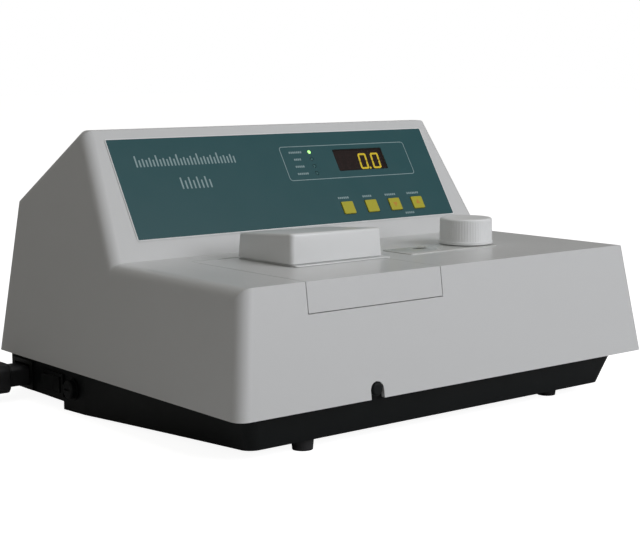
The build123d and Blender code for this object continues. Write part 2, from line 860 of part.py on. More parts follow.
save(cell_rack, "cell_rack")

rod_front = -half_rim + 0.1 + rod_knob_length

with BuildPart() as pull_rod:
    round_bar(
        (rack_x, rod_front - rod_tenon, rod_height), back, rod_radius,
        rack_rest_y + rod_grip - rod_front + rod_tenon,
    )
save(pull_rod, "pull_rod")

with BuildPart() as rod_knob:
    round_bar((rack_x, rod_front - rod_knob_length, rod_height), back, rod_knob_radius, rod_knob_length)
    fillet(rod_knob.faces().sort_by(Axis.Y)[0].edges(), 1.4)
    round_bar(
        (rack_x, rod_front - rod_tenon, rod_height), back, rod_radius, rod_tenon + 1,
        mode=Mode.SUBTRACT,
    )
save(rod_knob, "rod_knob")

# ---- Detector ---------------------------------------------------------------------------------
with BuildPart() as detector_house:
    bar(
        (detector_left, chamber_left),
        (beam_y - detector_depth / 2, beam_y + detector_depth / 2),
        (bench_top, detector_top),
    )
    bar(
        (detector_left + detector_wall, chamber_left - detector_wall),
        (beam_y - detector_depth / 2 + detector_wall, beam_y + detector_depth / 2 - detector_wall),
        (bench_top + detector_wall, detector_top - detector_wall),
        mode=Mode.SUBTRACT,
    )
    round_bar((chamber_left - 5, beam_y, beam_height), right, beam_radius, 10, mode=Mode.SUBTRACT)
save(detector_house, "detector_house")

with BuildPart() as photodiode:
    diode_x = chamber_left - 12.0
    round_bar((diode_x, beam_y, beam_height), left, 6.5, 5)
    bar(
        (diode_x - 5 - board_thickness, diode_x - 5),
        (beam_y - detector_depth / 2 + detector_wall, beam_y + detector_depth / 2 - detector_wall),
        (bench_top + detector_wall, detector_top - 16),
    )
save(photodiode, "photodiode")

# ---- Monochromator ----------------------------------------------------------------------------
collimator_y = mono_front + mono_wall + 12.0

with BuildPart() as mono_house:
    bar((mono_left, mono_right), (mono_front, mono_rear), (bench_top, mono_top))
    fillet(mono_house.edges().filter_by(Axis.Z), 5)
    bar(
        (mono_left + mono_wall, mono_right - mono_wall),
        (mono_front + mono_wall, mono_rear - mono_wall),
        (bench_top + mono_wall, mono_top + 1),
        mode=Mode.SUBTRACT,
    )
    round_bar(
        (mono_left - 1, beam_y, beam_height), right, beam_radius + 1, mono_wall + 2,
        mode=Mode.SUBTRACT,
    )
    round_bar(
        (entrance_x, mono_rear - mono_wall - 1, beam_height), back, beam_radius + 1, mono_wall + 2,
        mode=Mode.SUBTRACT,
    )
    # A stud on the left wall, which the light shutter swings on.
    round_bar((mono_left, shutter_y, shutter_height), left, shutter_pin_radius, mono_left - chamber_right)
save(mono_house, "monochromator_house")

with BuildPart() as mono_cover:
    bar((mono_left, mono_right), (mono_front, mono_rear), (mono_top, mono_cover_top))
    fillet(mono_cover.edges().filter_by(Axis.Z), 5)
    round_bar((knob_x, knob_y, mono_cover_top - 0.5), up, bush_radius + 1, 4.5)
    round_bar((knob_x, knob_y, mono_top + 1), up, shaft_radius + run_gap, 12, mode=Mode.SUBTRACT)
    round_bar((arm_x, arm_y, mono_top - 1), up, bush_radius, 8, mode=Mode.SUBTRACT)
    round_bar((dial_x, dial_y, mono_top - 1), up, shaft_radius, 8, mode=Mode.SUBTRACT)
save(mono_cover, "monochromator_cover")

with BuildPart() as slits:
    round_bar((mono_left, beam_y, beam_height), left, slit_radius, slit_thickness)
    round_bar((entrance_x, mono_rear, beam_height), back, slit_radius, slit_thickness)
    bar(
        (mono_left - 3, mono_left + 1), (beam_y - slit_width / 2, beam_y + slit_width / 2),
        (beam_height - 5, beam_height + 5), mode=Mode.SUBTRACT,
    )
    bar(
        (entrance_x - slit_width / 2, entrance_x + slit_width / 2), (mono_rear - 1, mono_rear + 3),
        (beam_height - 5, beam_height + 5), mode=Mode.SUBTRACT,
    )
save(slits, "slit_plates")


def mirror_on_foot(x, y, turn, side, thickness):
    """A square mirror that stands on a post from the housing's floor, turned in plan."""
    floor = bench_top + mono_wall
    with Locations(Location((x, y, floor), (0, 0, turn))):
        standing = (Align.CENTER, Align.CENTER, Align.MIN)
        Box(thickness, side, beam_height + side / 2 - floor, align=standing)
        Box(thickness + 8, side, mirror_foot, align=standing)


with BuildPart() as mirrors:
    mirror_on_foot(entrance_x, collimator_y, collimator_turn, collimator_side, mirror_thickness)
    mirror_on_foot(focus_x, beam_y + 2, focus_turn, focus_side, mirror_thickness)
save(mirrors, "mirrors")

# ---- Grating, its shaft and the sine arm ------------------------------------------------------
grating_top = mono_top - 6.0
arm_bottom = mono_cover_top + 0.6
arm_top = arm_bottom + arm_thickness
arm_angle = arm_direction + 180 + arm_rest_angle
follower_x, follower_y = polar((arm_x, arm_y), arm_length, arm_angle)
dial_bottom = dial_top - dial_thickness

with BuildPart() as grating_bush:
    round_bar((arm_x, arm_y, mono_top - 3), up, bush_radius, mono_lid + 3)
    round_bar((arm_x, arm_y, mono_top - 4), up, shaft_radius + run_gap, 10, mode=Mode.SUBTRACT)
save(grating_bush, "grating_bush")

with BuildPart() as sine_arm:
    with BuildSketch(Plane.XY.offset(arm_bottom)):
        with Locations(Location(((arm_x + follower_x) / 2, (arm_y + follower_y) / 2), arm_angle)):
            SlotCenterToCenter(arm_length, arm_width)
    extrude(amount=arm_thickness)
    round_bar((arm_x, arm_y, arm_top - 0.5), up, arm_hub_radius, arm_hub_height + 0.5)
    round_bar((arm_x, arm_y, arm_bottom - 1), up, shaft_radius, 10, mode=Mode.SUBTRACT)
    round_bar(
        (follower_x, follower_y, arm_top - 0.5), up, follower_radius, dial_bottom - arm_top - 0.1
    )
save(sine_arm, "sine_arm")

with BuildPart() as grating_mount:
    round_bar((arm_x, arm_y, grating_top), up, shaft_radius, arm_top + arm_hub_height - grating_top)
    bottom = beam_height - grating_side / 2 - mount_end
    with Locations(Location((arm_x, arm_y, bottom), (0, 0, grating_turn))):
        Box(
            mount_depth, grating_side + 4, grating_top - bottom,
            align=(Align.MAX, Align.CENTER, Align.MIN),
        )
        Box(mount_block, mount_block, mount_end, align=(Align.CENTER, Align.CENTER, Align.MIN))
    with Locations(Location((arm_x, arm_y, grating_top - mount_end), (0, 0, grating_turn))):
        Box(mount_block, mount_block, mount_end + 0.01, align=(Align.CENTER, Align.CENTER, Align.MIN))
save(grating_mount, "grating_mount")

with BuildPart() as grating:
    with Locations(Location((arm_x, arm_y, beam_height), (0, 0, grating_turn))):
        Box(
            grating_thickness, grating_side, grating_side - 1,
            align=(Align.MIN, Align.CENTER, Align.CENTER),
        )
save(grating, "grating")


# ---- Wavelength drive -------------------------------------------------------------------------
def gear_points(centre, teeth, start):
    """The outline of a straight-flanked gear, with the middle of its first tooth at an angle."""
    pitch = gear_module * teeth / 2
    half_pitch = (math.pi * gear_module / 2 - tooth_backlash) / 2
    steps = (
        (pitch - tooth_root * gear_module, half_pitch + tooth_root * gear_module * tooth_slope),
        (pitch + tooth_height * gear_module, half_pitch - tooth_height * gear_module * tooth_slope),
    )
    points = []
    for index in range(teeth):
        middle = start + index * 360 / teeth
        for side, order in ((-1, steps), (1, steps[::-1])):
            for radius, half in order:
                points.append(polar(centre, radius, middle + side * math.degrees(half / radius)))
    return points


def cam_points():
    """The cam's edge: the follower's distance from the dial's axis, less the follower."""
    points = []
    count = round((dial_reach[1] - dial_reach[0]) / cam_step)
    for index in range(count + 1):
        turn = dial_reach[0] + index * (dial_reach[1] - dial_reach[0]) / count
        place = polar((arm_x, arm_y), arm_length, arm_angle + arm_ratio * turn)
        distance = math.dist(place, (dial_x, dial_y)) - follower_radius - follower_gap
        bearing = math.degrees(math.atan2(place[1] - dial_y, place[0] - dial_x)) - turn
        points.append(polar((dial_x, dial_y), distance, bearing))
    return points


with BuildPart() as dial_gear:
    with BuildSketch(Plane.XY.offset(dial_bottom)):
        with BuildLine():
            first = dial_direction + 180 + 180 / dial_teeth
            Polyline(*gear_points((dial_x, dial_y), dial_teeth, first), close=True)
        make_face()
    extrude(amount=dial_thickness)
    cam_bottom = arm_top + 0.3
    with BuildSketch(Plane.XY.offset(cam_bottom)):
        with BuildLine():
            edge = cam_points()
            Spline(*edge)
            Line(edge[-1], edge[0])
        make_face()
    extrude(amount=dial_bottom - cam_bottom)
    round_bar((dial_x, dial_y, mono_cover_top + 0.1), up, dial_hub_radius, dial_bottom - mono_cover_top)
    round_bar((dial_x, dial_y, mono_cover_top), up, shaft_radius + run_gap, 20, mode=Mode.SUBTRACT)
save(dial_gear, "dial_gear")

with BuildPart() as dial_scale:
    with BuildSketch(Plane.XY.offset(dial_top)):
        with Locations((dial_x, dial_y)):
            Circle(scale_outer)
            Circle(scale_inner, mode=Mode.SUBTRACT)
    extrude(amount=scale_thickness)
save(dial_scale, "dial_scale")

with BuildPart() as dial_stud:
    round_bar((dial_x, dial_y, mono_top - 1), up, shaft_radius, dial_top + 1.6 - mono_top + 1)
    round_bar((dial_x, dial_y, dial_top + 0.6), up, shaft_radius + 2, 1.2)
save(dial_stud, "dial_stud")

with BuildPart() as knob_shaft:
    shaft_foot = mono_top + 1.2
    round_bar(
        (knob_x, knob_y, shaft_foot), up, shaft_radius, knob_base - 1 + knob_bore - shaft_foot
    )
    with BuildSketch(Plane.XY.offset(dial_bottom - pinion_margin)):
        with BuildLine():
            Polyline(*gear_points((knob_x, knob_y), pinion_teeth, dial_direction), close=True)
        make_face()
    extrude(amount=dial_thickness + 2 * pinion_margin)
save(knob_shaft, "knob_shaft")

with BuildPart() as shaft_bush:
    round_bar((knob_x, knob_y, deck_height - cover_wall - 1), up, bush_radius, cover_wall + 1)
    round_bar((knob_x, knob_y, deck_height - cover_wall - 1), up, bush_radius + 1.6, 1)
    round_bar((knob_x, knob_y, deck_height - 8), up, shaft_radius + run_gap, 12, mode=Mode.SUBTRACT)
save(shaft_bush, "shaft_bush")

with BuildPart() as dial_plate:
    with BuildSketch(Plane.XY.offset(deck_height)):
        with Locations((knob_x, knob_y)):
            Circle(dial_plate_half)
        with Locations(((dial_plate_left + knob_x) / 2, knob_y)):
            Rectangle(knob_x - dial_plate_left, 2 * dial_plate_half)
        with Locations((knob_x, knob_y)):
            Circle(bush_radius + 0.2, mode=Mode.SUBTRACT)
        with Locations((lens_x, knob_y)):
            SlotOverall(lens_length, lens_width, mode=Mode.SUBTRACT)
    extrude(amount=plate_thickness)
save(dial_plate, "dial_plate")

with BuildPart() as dial_lens:
    with BuildSketch(Plane.XY.offset(deck_height)):
        with Locations((lens_x, knob_y)):
            SlotOverall(lens_length - 0.2, lens_width - 0.2)
    extrude(amount=plate_thickness - 0.1)
    with BuildSketch(Plane.XY.offset(deck_height - cover_wall)):
        with Locations((lens_x, knob_y)):
            SlotOverall(lens_length - 1.2, lens_width - 1.2)
    extrude(amount=cover_wall)
save(dial_lens, "dial_lens")

with BuildPart() as wavelength_knob:
    round_bar((knob_x, knob_y, knob_base), up, knob_radius, knob_band)
    round_bar((knob_x, knob_y, knob_base), up, knob_radius - knob_rib_radius, knob_height)
    for index in range(knob_ribs):
        x, y = polar((knob_x, knob_y), knob_radius - knob_rib_radius, index * 360 / knob_ribs)
        round_bar((x, y, knob_base), up, knob_rib_radius, knob_height - 1.6)
    rim = wavelength_knob.faces().sort_by(Axis.Z)[-1].edges()
    fillet(rim, 1.2)
    round_bar(
        (knob_x, knob_y, knob_base), up, knob_radius - knob_skirt, knob_height - knob_top,
        mode=Mode.SUBTRACT,
    )
    round_bar((knob_x, knob_y, knob_base), up, bush_radius + 2, knob_height - knob_top + 1.4)
    round_bar((knob_x, knob_y, knob_base - 1), up, shaft_radius, knob_bore, mode=Mode.SUBTRACT)
save(wavelength_knob, "wavelength_knob")

# ---- Light shutter, swung by the lid ----------------------------------------------------------
shutter_x = (mono_left - slit_thickness + chamber_right) / 2
shutter_left = shutter_x - shutter_thickness / 2

with BuildPart() as light_shutter:
    for y, radius in ((shutter_y, shutter_hub_radius), (beam_y, shutter_vane_radius)):
        round_bar((shutter_left, y, shutter_height), right, radius, shutter_thickness)
    bar(
        (shutter_left, shutter_left + shutter_thickness),
        (shutter_y, beam_y),
        (shutter_height - shutter_arm_width / 2, shutter_height + shutter_arm_width / 2),
    )
    round_bar(
        (shutter_x - 5, shutter_y, shutter_height), right, shutter_pin_radius + run_gap, 10,
        mode=Mode.SUBTRACT,
    )
save(light_shutter, "light_shutter")

# ---- Lamp -------------------------------------------------------------------------------------
lamp_base = bench_top
house_x = (lamp_x - lamp_house[0] / 2, lamp_x + lamp_house[0] / 2)
house_y = (lamp_y - lamp_house[1] / 2, lamp_y + lamp_house[1] / 2)

with BuildPart() as lamp_housing:
    bar(house_x, house_y, (lamp_base, lamp_base + lamp_house[2]))
    bar(
        (house_x[0] + lamp_wall, house_x[1] - lamp_wall),
        (house_y[0] + lamp_wall, house_y[1] - lamp_wall),
        (lamp_base - 1, lamp_base + lamp_house[2] - lamp_wall), mode=Mode.SUBTRACT,
    )
    round_bar((lamp_x, house_y[0] - 1, beam_height), back, lens_radius, lamp_wall + 2, mode=Mode.SUBTRACT)
    with Locations((lamp_x, lamp_y, lamp_base + lamp_house[2])):
        with GridLocations(7, 1, 5, 1):
            Box(3, lamp_house[1] - 16, 10, mode=Mode.SUBTRACT)
save(lamp_housing, "lamp_housing")

with BuildPart() as lamp_socket:
    round_bar((lamp_x, lamp_y, lamp_base), up, 9, beam_height - lamp_base - 12)
save(lamp_socket, "lamp_socket")

with BuildPart() as lamp:
    round_bar((lamp_x, lamp_y, beam_height - 12), up, 5.5, 17)
    fillet(lamp.faces().sort_by(Axis.Z)[-1].edges(), 4)
save(lamp, "halogen_lamp")

with BuildPart() as condenser:
    round_bar((lamp_x, house_y[0] + lamp_wall, beam_height), front, lens_radius, lamp_wall + 5)
    fillet(condenser.faces().sort_by(Axis.Y)[0].edges(), 3)
save(condenser, "condenser_lens")

# ---- Boards and transformer -------------------------------------------------------------------
board_height = bench_top + post_lift
transformer_core = ((-74, -14), (104, 146), 50)
transformer_winding = ((-66, -22), (101, 149), 10)


def circuit_board(x, y, parts):
    """A board on four studs, with its larger parts: place, width, depth and height of each."""
    bar(x, y, (board_height, board_height + board_thickness))
    for sx in (x[0] + 5, x[1] - 5):
        for sy in (y[0] + 5, y[1] - 5):
            round_bar((sx, sy, bench_top), up, 3, board_height - bench_top)
    for px, py, wide, deep, high in parts:
        with Locations((px, py, board_height + board_thickness)):
            Box(wide, deep, high, align=(Align.CENTER, Align.CENTER, Align.MIN))


with BuildPart() as main_board:
    circuit_board(
        (-132, -14), (-14, 84),
        [
            (-100, 40, 36, 14, 4),
            (-60, 40, 14, 36, 4),
            (-30, 20, 18, 10, 3),
            (-30, 60, 20, 8, 9),
            (-100, 68, 30, 8, 9),
        ],
    )
save(main_board, "main_board")

with BuildPart() as power_board:
    circuit_board((2, 68), (26, 92), [(20, 40, 16, 24, 25), (50, 40, 14, 14, 24), (48, 76, 22, 10, 16)])
save(power_board, "power_board")

with BuildPart() as transformer:
    core, winding = transformer_core, transformer_winding
    bar(core[0], core[1], (tub_floor, tub_floor + core[2]))
    bar(winding[0], winding[1], (tub_floor + winding[2], tub_floor + core[2] - winding[2]))
save(transformer, "transformer")

# ---- Mains inlet, switch and fuse -------------------------------------------------------------
def wall_box(y, z, size, x, mode=Mode.ADD):
    """A block centred on a place of the left wall, from one X to another."""
    bar(x, (y - size[0] / 2, y + size[0] / 2), (z - size[1] / 2, z + size[1] / 2), mode=mode)


with BuildPart() as mains_inlet:
    wall_box(inlet_y, inlet_height, inlet_flange, (wall_x - flange_thickness, wall_x))
    wall_box(inlet_y, inlet_height, inlet_size, (wall_x, wall_x + inlet_depth))
    wall_box(
        inlet_y, inlet_height, (plug_insert_size[0] + 1, plug_insert_size[1] + 1),
        (wall_x - flange_thickness - 1, wall_x + plug_insert + 1), mode=Mode.SUBTRACT,
    )
    for offset_y, offset_z in pin_places:
        wall_box(
            inlet_y + offset_y, inlet_height + offset_z, pin_blade,
            (wall_x + 2, wall_x + plug_insert + 2),
        )
save(mains_inlet, "mains_inlet")

with BuildPart() as switch_body:
    wall_box(rocker_y, rocker_height, rocker_bezel, (wall_x - flange_thickness, wall_x))
    wall_box(
        rocker_y, rocker_height, (rocker_size[0] + 1.6, rocker_size[1] + 1.2),
        (wall_x, wall_x + rocker_depth),
    )
    wall_box(
        rocker_y, rocker_height, (rocker_size[0] + 0.6, rocker_size[1] + 0.6),
        (wall_x - flange_thickness - 1, wall_x + 7), mode=Mode.SUBTRACT,
    )
    with Locations((wall_x + rocker_pivot[0], rocker_y, rocker_height)):
        Cylinder(rocker_pivot[1], rocker_size[1] + 0.8)
save(switch_body, "switch_body")

with BuildPart() as rocker:
    # Its outline in plan: two faces that meet at a shallow ridge, and a narrower root.
    with BuildSketch(Plane.XY.offset(rocker_height - rocker_size[1] / 2)):
        with BuildLine():
            reach = rocker_size[0] / 2 - 1.4
            Polyline(
                (wall_x - 2.2, rocker_y - reach),
                (wall_x - 1.2, rocker_y),
                (wall_x - 4.4, rocker_y + reach),
                (wall_x + 0.2, rocker_y + reach),
                (wall_x + 3.6, rocker_y + 3),
                (wall_x + 3.6, rocker_y - 3),
                (wall_x + 1.6, rocker_y - reach),
                close=True,
            )
        make_face()
    extrude(amount=rocker_size[1])
    with Locations((wall_x + rocker_pivot[0], rocker_y, rocker_height)):
        Cylinder(rocker_pivot[1] + run_gap, rocker_size[1] + 4, mode=Mode.SUBTRACT)
save(rocker, "power_rocker")

with BuildPart() as fuse_holder:
    round_bar((wall_x, fuse_y, fuse_height), right, fuse_radius, fuse_depth)
    round_bar(
        (wall_x - flange_thickness, fuse_y, fuse_height), right, fuse_cap_radius + 1, flange_thickness
    )
    round_bar(
        (wall_x - flange_thickness - 1, fuse_y, fuse_height), right, fuse_bore, fuse_depth - 3,
        mode=Mode.SUBTRACT,
    )
save(fuse_holder, "fuse_holder")

with BuildPart() as fuse_cap:
    cap_x = wall_x - flange_thickness - 0.1
    round_bar((cap_x, fuse_y, fuse_height), left, fuse_cap_radius, 4)
    fillet(fuse_cap.faces().sort_by(Axis.X)[0].edges(), 1.4)
    bar(
        (cap_x - 5, cap_x - 3), (fuse_y - 3.6, fuse_y + 3.6), (fuse_height - 0.6, fuse_height + 0.6),
        mode=Mode.SUBTRACT,
    )
    round_bar((cap_x, fuse_y, fuse_height), right, fuse_bore - run_gap, fuse_spigot)
save(fuse_cap, "fuse_cap")

# ---- Cord -------------------------------------------------------------------------------------
plug_x = wall_x - flange_thickness - 0.2
grip_x = plug_x - plug_body
relief_x = grip_x - grip_length

with BuildPart() as connector:
    wall_box(inlet_y, inlet_height, plug_insert_size, (plug_x, plug_x + plug_insert))
    for offset_y, offset_z in pin_places:
        wall_box(
            inlet_y + offset_y, inlet_height + offset_z, (pin_blade[0] + 0.4, pin_blade[1] + 0.4),
            (plug_x + 1, plug_x + plug_insert + 1), mode=Mode.SUBTRACT,
        )
    with BuildSketch(Plane.YZ.offset(plug_x)):
        with Locations((inlet_y, inlet_height)):
            RectangleRounded(*plug_size, plug_corner)
    extrude(amount=-plug_body)
    with BuildSketch(Plane.YZ.offset(grip_x)):
        with Locations((inlet_y, inlet_height - grip_drop)):
            RectangleRounded(*grip_size, plug_corner)
    extrude(amount=-grip_length)
save(connector, "inlet_connector")

relief_height = route[0][2]

with BuildPart() as strain_relief:
    taper_bar((relief_x, inlet_y, relief_height), left, relief_radii, relief_length)
save(strain_relief, "strain_relief")


def rounding_radii(points):
    """Each corner's radius: 0.45 of its shorter run over the tangent of half its turn."""
    radii = []
    for before, here, after in zip(points, points[1:], points[2:]):
        run_in = Vector(here) - Vector(before)
        run_out = Vector(after) - Vector(here)
        half_turn = math.radians(run_in.get_angle(run_out)) / 2
        radii.append(0.45 * min(run_in.length, run_out.length) / math.tan(half_turn))
    return radii


with BuildPart() as mains_cord:
    for points in (route, tail):
        radii = rounding_radii(points)
        with BuildLine() as path:
            FilletPolyline(*points, radius=radii)
        with BuildSketch(Plane(origin=points[0], z_dir=Vector(points[1]) - Vector(points[0]))):
            Circle(cord_radius)
        sweep(path=path.wires()[0])
        print("cord radii", [round(r) for r in radii], "length", round(path.wires()[0].length, 1))
save(mains_cord, "mains_cord")
print("cord volume", round(mains_cord.part.volume), "section", round(math.pi * cord_radius**2, 2))

with BuildPart() as cord_coil:
    with BuildSketch(Plane.XY):
        with Locations(coil_centre):
            Circle(coil_outer)
            Circle(coil_inner, mode=Mode.SUBTRACT)
    extrude(amount=coil_height)
save(cord_coil, "cord_coil")

with BuildPart() as mains_plug:
    tail_end = tail[-1]
    plug_y = tail_end[1] - mains_plug_size[1]
    bar(
        (tail_end[0] - mains_plug_size[0] / 2, tail_end[0] + mains_plug_size[0] / 2),
        (plug_y, tail_end[1]), (0, mains_plug_size[2]),
    )
    fillet(mains_plug.edges().filter_by(Axis.Y), 5)
    for offset_x, offset_z in blade_places:
        with Locations((tail_end[0] + offset_x, plug_y, mains_plug_size[2] / 2 + offset_z)):
            Box(*mains_blade, align=(Align.CENTER, Align.MAX, Align.CENTER))
save(mains_plug, "mains_plug")
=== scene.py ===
import json
import math
from contextlib import contextmanager

import bmesh
import bpy
from mathutils import Matrix, Vector


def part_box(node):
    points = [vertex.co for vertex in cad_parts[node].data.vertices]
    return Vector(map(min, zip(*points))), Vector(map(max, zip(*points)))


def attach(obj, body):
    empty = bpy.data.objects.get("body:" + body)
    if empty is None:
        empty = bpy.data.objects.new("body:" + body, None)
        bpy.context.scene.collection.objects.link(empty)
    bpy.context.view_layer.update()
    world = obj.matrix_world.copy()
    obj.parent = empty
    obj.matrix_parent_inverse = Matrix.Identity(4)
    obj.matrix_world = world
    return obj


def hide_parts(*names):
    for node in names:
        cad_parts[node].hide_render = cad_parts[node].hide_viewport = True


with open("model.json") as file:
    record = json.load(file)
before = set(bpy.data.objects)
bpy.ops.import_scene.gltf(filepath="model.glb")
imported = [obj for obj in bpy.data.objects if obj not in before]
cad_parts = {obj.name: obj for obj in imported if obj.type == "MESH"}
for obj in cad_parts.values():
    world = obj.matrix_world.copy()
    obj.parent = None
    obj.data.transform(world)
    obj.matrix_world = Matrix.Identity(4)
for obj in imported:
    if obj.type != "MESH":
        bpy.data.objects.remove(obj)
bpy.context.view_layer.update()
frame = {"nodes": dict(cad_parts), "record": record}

bl_info = {
    "name": "Bench spectrophotometer finish",
    "version": (1, 0, 0),
    "blender": (4, 5, 0),
    "location": "View3D > Sidebar > Spectro",
    "description": "Lead, printed panel, display, dial and finishes of a bench spectrophotometer",
    "category": "Object",
}

MM = 0.001
BODY = "instrument"
WHITE_WORLD = 1.0
nodes = frame["nodes"]


# ---- Sizes and colours that a user would change ----
def length(name, text, value):
    """A length property in metres, given in millimetres."""
    return bpy.props.FloatProperty(
        name=name, description=text, default=value * MM, unit="LENGTH", precision=5
    )


def colour(name, text, value):
    """A linear colour property."""
    return bpy.props.FloatVectorProperty(
        name=name, description=text, default=value, subtype="COLOR", min=0, max=1
    )


class SPECTRO_PG_lead(bpy.types.PropertyGroup):
    cord_radius: length("Cord radius", "Outside radius of the mains lead", 3.5)
    coil_radius: length("Coil radius", "Centreline radius of the coil's outer turn", 42.5)
    coil_pitch: length("Coil pitch", "Distance between turns that lie side by side", 7.0)


class SPECTRO_PG_print(bpy.types.PropertyGroup):
    line_width: length("Line width", "Width of the frame line printed round the display", 0.55)
    ink_height: length("Ink height", "How far the print stands above the panel", 0.06)
    stroke_width: length("Stroke width", "Width of one stroke of the title scale", 1.25)


class SPECTRO_PG_display(bpy.types.PropertyGroup):
    digit_height: length("Digit height", "Height of one digit of the display", 14.2)
    digit_width: length("Digit width", "Width of one digit of the display", 8.4)
    digit_pitch: length("Digit pitch", "Distance between neighbouring digits", 12.9)
    segment: length("Segment", "Width of one bar of a digit", 1.7)


class SPECTRO_PG_colours(bpy.types.PropertyGroup):
    cover: colour("Cover", "Moulded cover and lid", (0.66, 0.67, 0.665))
    panel: colour("Panel", "Printed overlay", (0.013, 0.079, 0.088))
    ink: colour("Ink", "Print on the overlay", (0.27, 0.38, 0.39))
    key: colour("Keys", "Key caps", (0.46, 0.42, 0.022))
    arrow: colour("Key marks", "Arrows printed on two key caps", (0.56, 0.27, 0.03))
    digits: colour("Digits", "Lit bars of the display", (1.0, 0.76, 0.04))
    lamp: colour("Lamp", "Lit indicator lamp", (0.45, 1.0, 0.28))
    tub: colour("Base", "Base tub", (0.0045, 0.0060, 0.0062))


class SPECTRO_PG_stage(bpy.types.PropertyGroup):
    floor_size: bpy.props.FloatProperty(
        name="Floor size", description="Side of the pale floor", default=30.0, unit="LENGTH"
    )
    key_power: bpy.props.FloatProperty(
        name="Key light", description="Power of the large soft light", default=28.0, unit="POWER"
    )
    lens: bpy.props.FloatProperty(
        name="Lens", description="Focal length of the camera", default=81.675, subtype="DISTANCE_CAMERA"
    )


# ---- Modelling helpers ----
def deselect():
    """Leave edit mode and select nothing."""
    if bpy.context.object and bpy.context.object.mode != "OBJECT":
        bpy.ops.object.mode_set(mode="OBJECT")
    bpy.ops.object.select_all(action="DESELECT")


def select(*pieces):
    """Select only these pieces, the last one active."""
    deselect()
    for piece in pieces:
        piece.select_set(True)
    bpy.context.view_layer.objects.active = pieces[-1]


@contextmanager
def editing(piece):
    """Edit mode on one piece."""
    select(piece)
    bpy.ops.object.mode_set(mode="EDIT")
    yield
    bpy.ops.object.mode_set(mode="OBJECT")


def pick(piece, kind, test):
    """Select the faces, edges or verts of the piece in edit mode that pass a test."""
    bpy.ops.mesh.select_mode(type={"faces": "FACE", "edges": "EDGE", "verts": "VERT"}[kind])
    bpy.ops.mesh.select_all(action="DESELECT")
    mesh = bmesh.from_edit_mesh(piece.data)
    for item in getattr(mesh, kind):
        if test(item):
            item.select_set(True)
    mesh.select_flush_mode()
    bmesh.update_edit_mesh(piece.data)


def outward():
    """Make the normals of the mesh in edit mode point outwards."""
    bpy.ops.mesh.select_all(action="SELECT")
    bpy.ops.mesh.remove_doubles(threshold=1e-6)
    bpy.ops.mesh.normals_make_consistent(inside=False)


def copies(piece, places):
    """Join copies of a piece, each with its own mesh, turned or moved by the matrices."""
    made = []
    for place in places:
        twin = piece.copy()
        twin.data = piece.data.copy()
        twin.data.transform(place)
        bpy.context.collection.objects.link(twin)
        made.append(twin)
    bpy.data.objects.remove(piece)
    return join(made)


def join(pieces):
    """Join pieces into the last one."""
    select(*pieces)
    if len(pieces) > 1:
        bpy.ops.object.join()
    return bpy.context.object


def settle(piece, name, finish, body=BODY, stands_for=(), place=None, angle=35):
    """Put a piece's place into its mesh, smooth it, name it and hang it on its body.

    Its slot is the one named like its finish.
    """
    if place is not None:
        piece.data.transform(place)
    select(piece)
    bpy.ops.object.transform_apply(location=True, rotation=True, scale=True)
    bpy.ops.object.shade_smooth_by_angle(angle=math.radians(angle))
    piece.name = name
    piece.data.name = name
    piece.data.materials.clear()
    piece.data.materials.append(finishes[finish])
    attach(piece, body)
    if stands_for:
        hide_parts(*stands_for)
    return piece


def modify(piece, kind, **settings):
    """Add a modifier and apply it."""
    select(piece)
    modifier = piece.modifiers.new(kind.title(), kind)
    for name, value in settings.items():
        setattr(modifier, name, value)
    bpy.ops.object.modifier_apply(modifier=modifier.name)


def everything():
    """Select all of the mesh in edit mode."""
    bpy.ops.mesh.select_all(action="SELECT")


def push(x, y, z):
    """Extrude what is selected by a step."""
    bpy.ops.mesh.extrude_region_move(TRANSFORM_OT_translate={"value": (x, y, z)})


def solid(piece, thickness):
    """Give a flat piece a thickness."""
    with editing(piece):
        everything()
        push(0, 0, thickness)
        outward()
    return piece


def disc(sides, radius):
    """A flat regular polygon with its middle on the origin."""
    deselect()
    bpy.ops.mesh.primitive_circle_add(vertices=sides, radius=radius, fill_type="NGON")
    return bpy.context.object


def sheet(width, height, corner, segments=3):
    """A flat rectangle with rounded corners and its middle on the origin."""
    deselect()
    bpy.ops.mesh.primitive_plane_add(size=1)
    piece = bpy.context.object
    with editing(piece):
        everything()
        bpy.ops.transform.resize(value=(width, height, 1))
        if corner > 0:
            bpy.ops.mesh.bevel(offset=corner, segments=segments, affect="VERTICES")
    return piece


def tile(width, height, corner, thickness):
    """A thin plate with rounded corners, its underside on XY."""
    return solid(sheet(width, height, corner), thickness)


def ring(width, height, corner, line, thickness):
    """A rounded frame line of even width."""
    piece = sheet(width, height, corner, segments=5)
    with editing(piece):
        everything()
        bpy.ops.mesh.inset(thickness=line)
        bpy.ops.mesh.delete(type="FACE")
    return solid(piece, thickness)


def shift(x, y, z=0.0):
    return Matrix.Translation((x, y, z))


# ---- The sloping panel's own axes ----
class Panel:
    """x runs right, y up the slope and z out of the panel, from the middle of its front."""

    def __init__(self):
        press = next(j for j in frame["record"]["behaviour"]["joints"] if j["name"] == "key_1_press")
        self.out = -Vector(press["axis"]).normalized()
        self.right = Vector((1, 0, 0))
        self.up = self.out.cross(self.right)
        low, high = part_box("keypad_panel")
        self.middle = (low + high) / 2
        self.middle += self.out * self.box("keypad_panel")[1].z

    def box(self, node):
        """Lowest and highest corner of a node along the panel's axes."""
        rows = [v.co - self.middle for v in nodes[node].data.vertices]
        sides = [[row.dot(axis) for row in rows] for axis in (self.right, self.up, self.out)]
        return Vector([min(side) for side in sides]), Vector([max(side) for side in sides])

    def place(self, x=0.0, y=0.0, z=0.0):
        """The matrix that lays a flat piece on the panel at a point."""
        turn = Matrix((self.right, self.up, self.out)).transposed().to_4x4()
        return shift(*self.middle) @ turn @ shift(x, y, z)


panel = Panel()


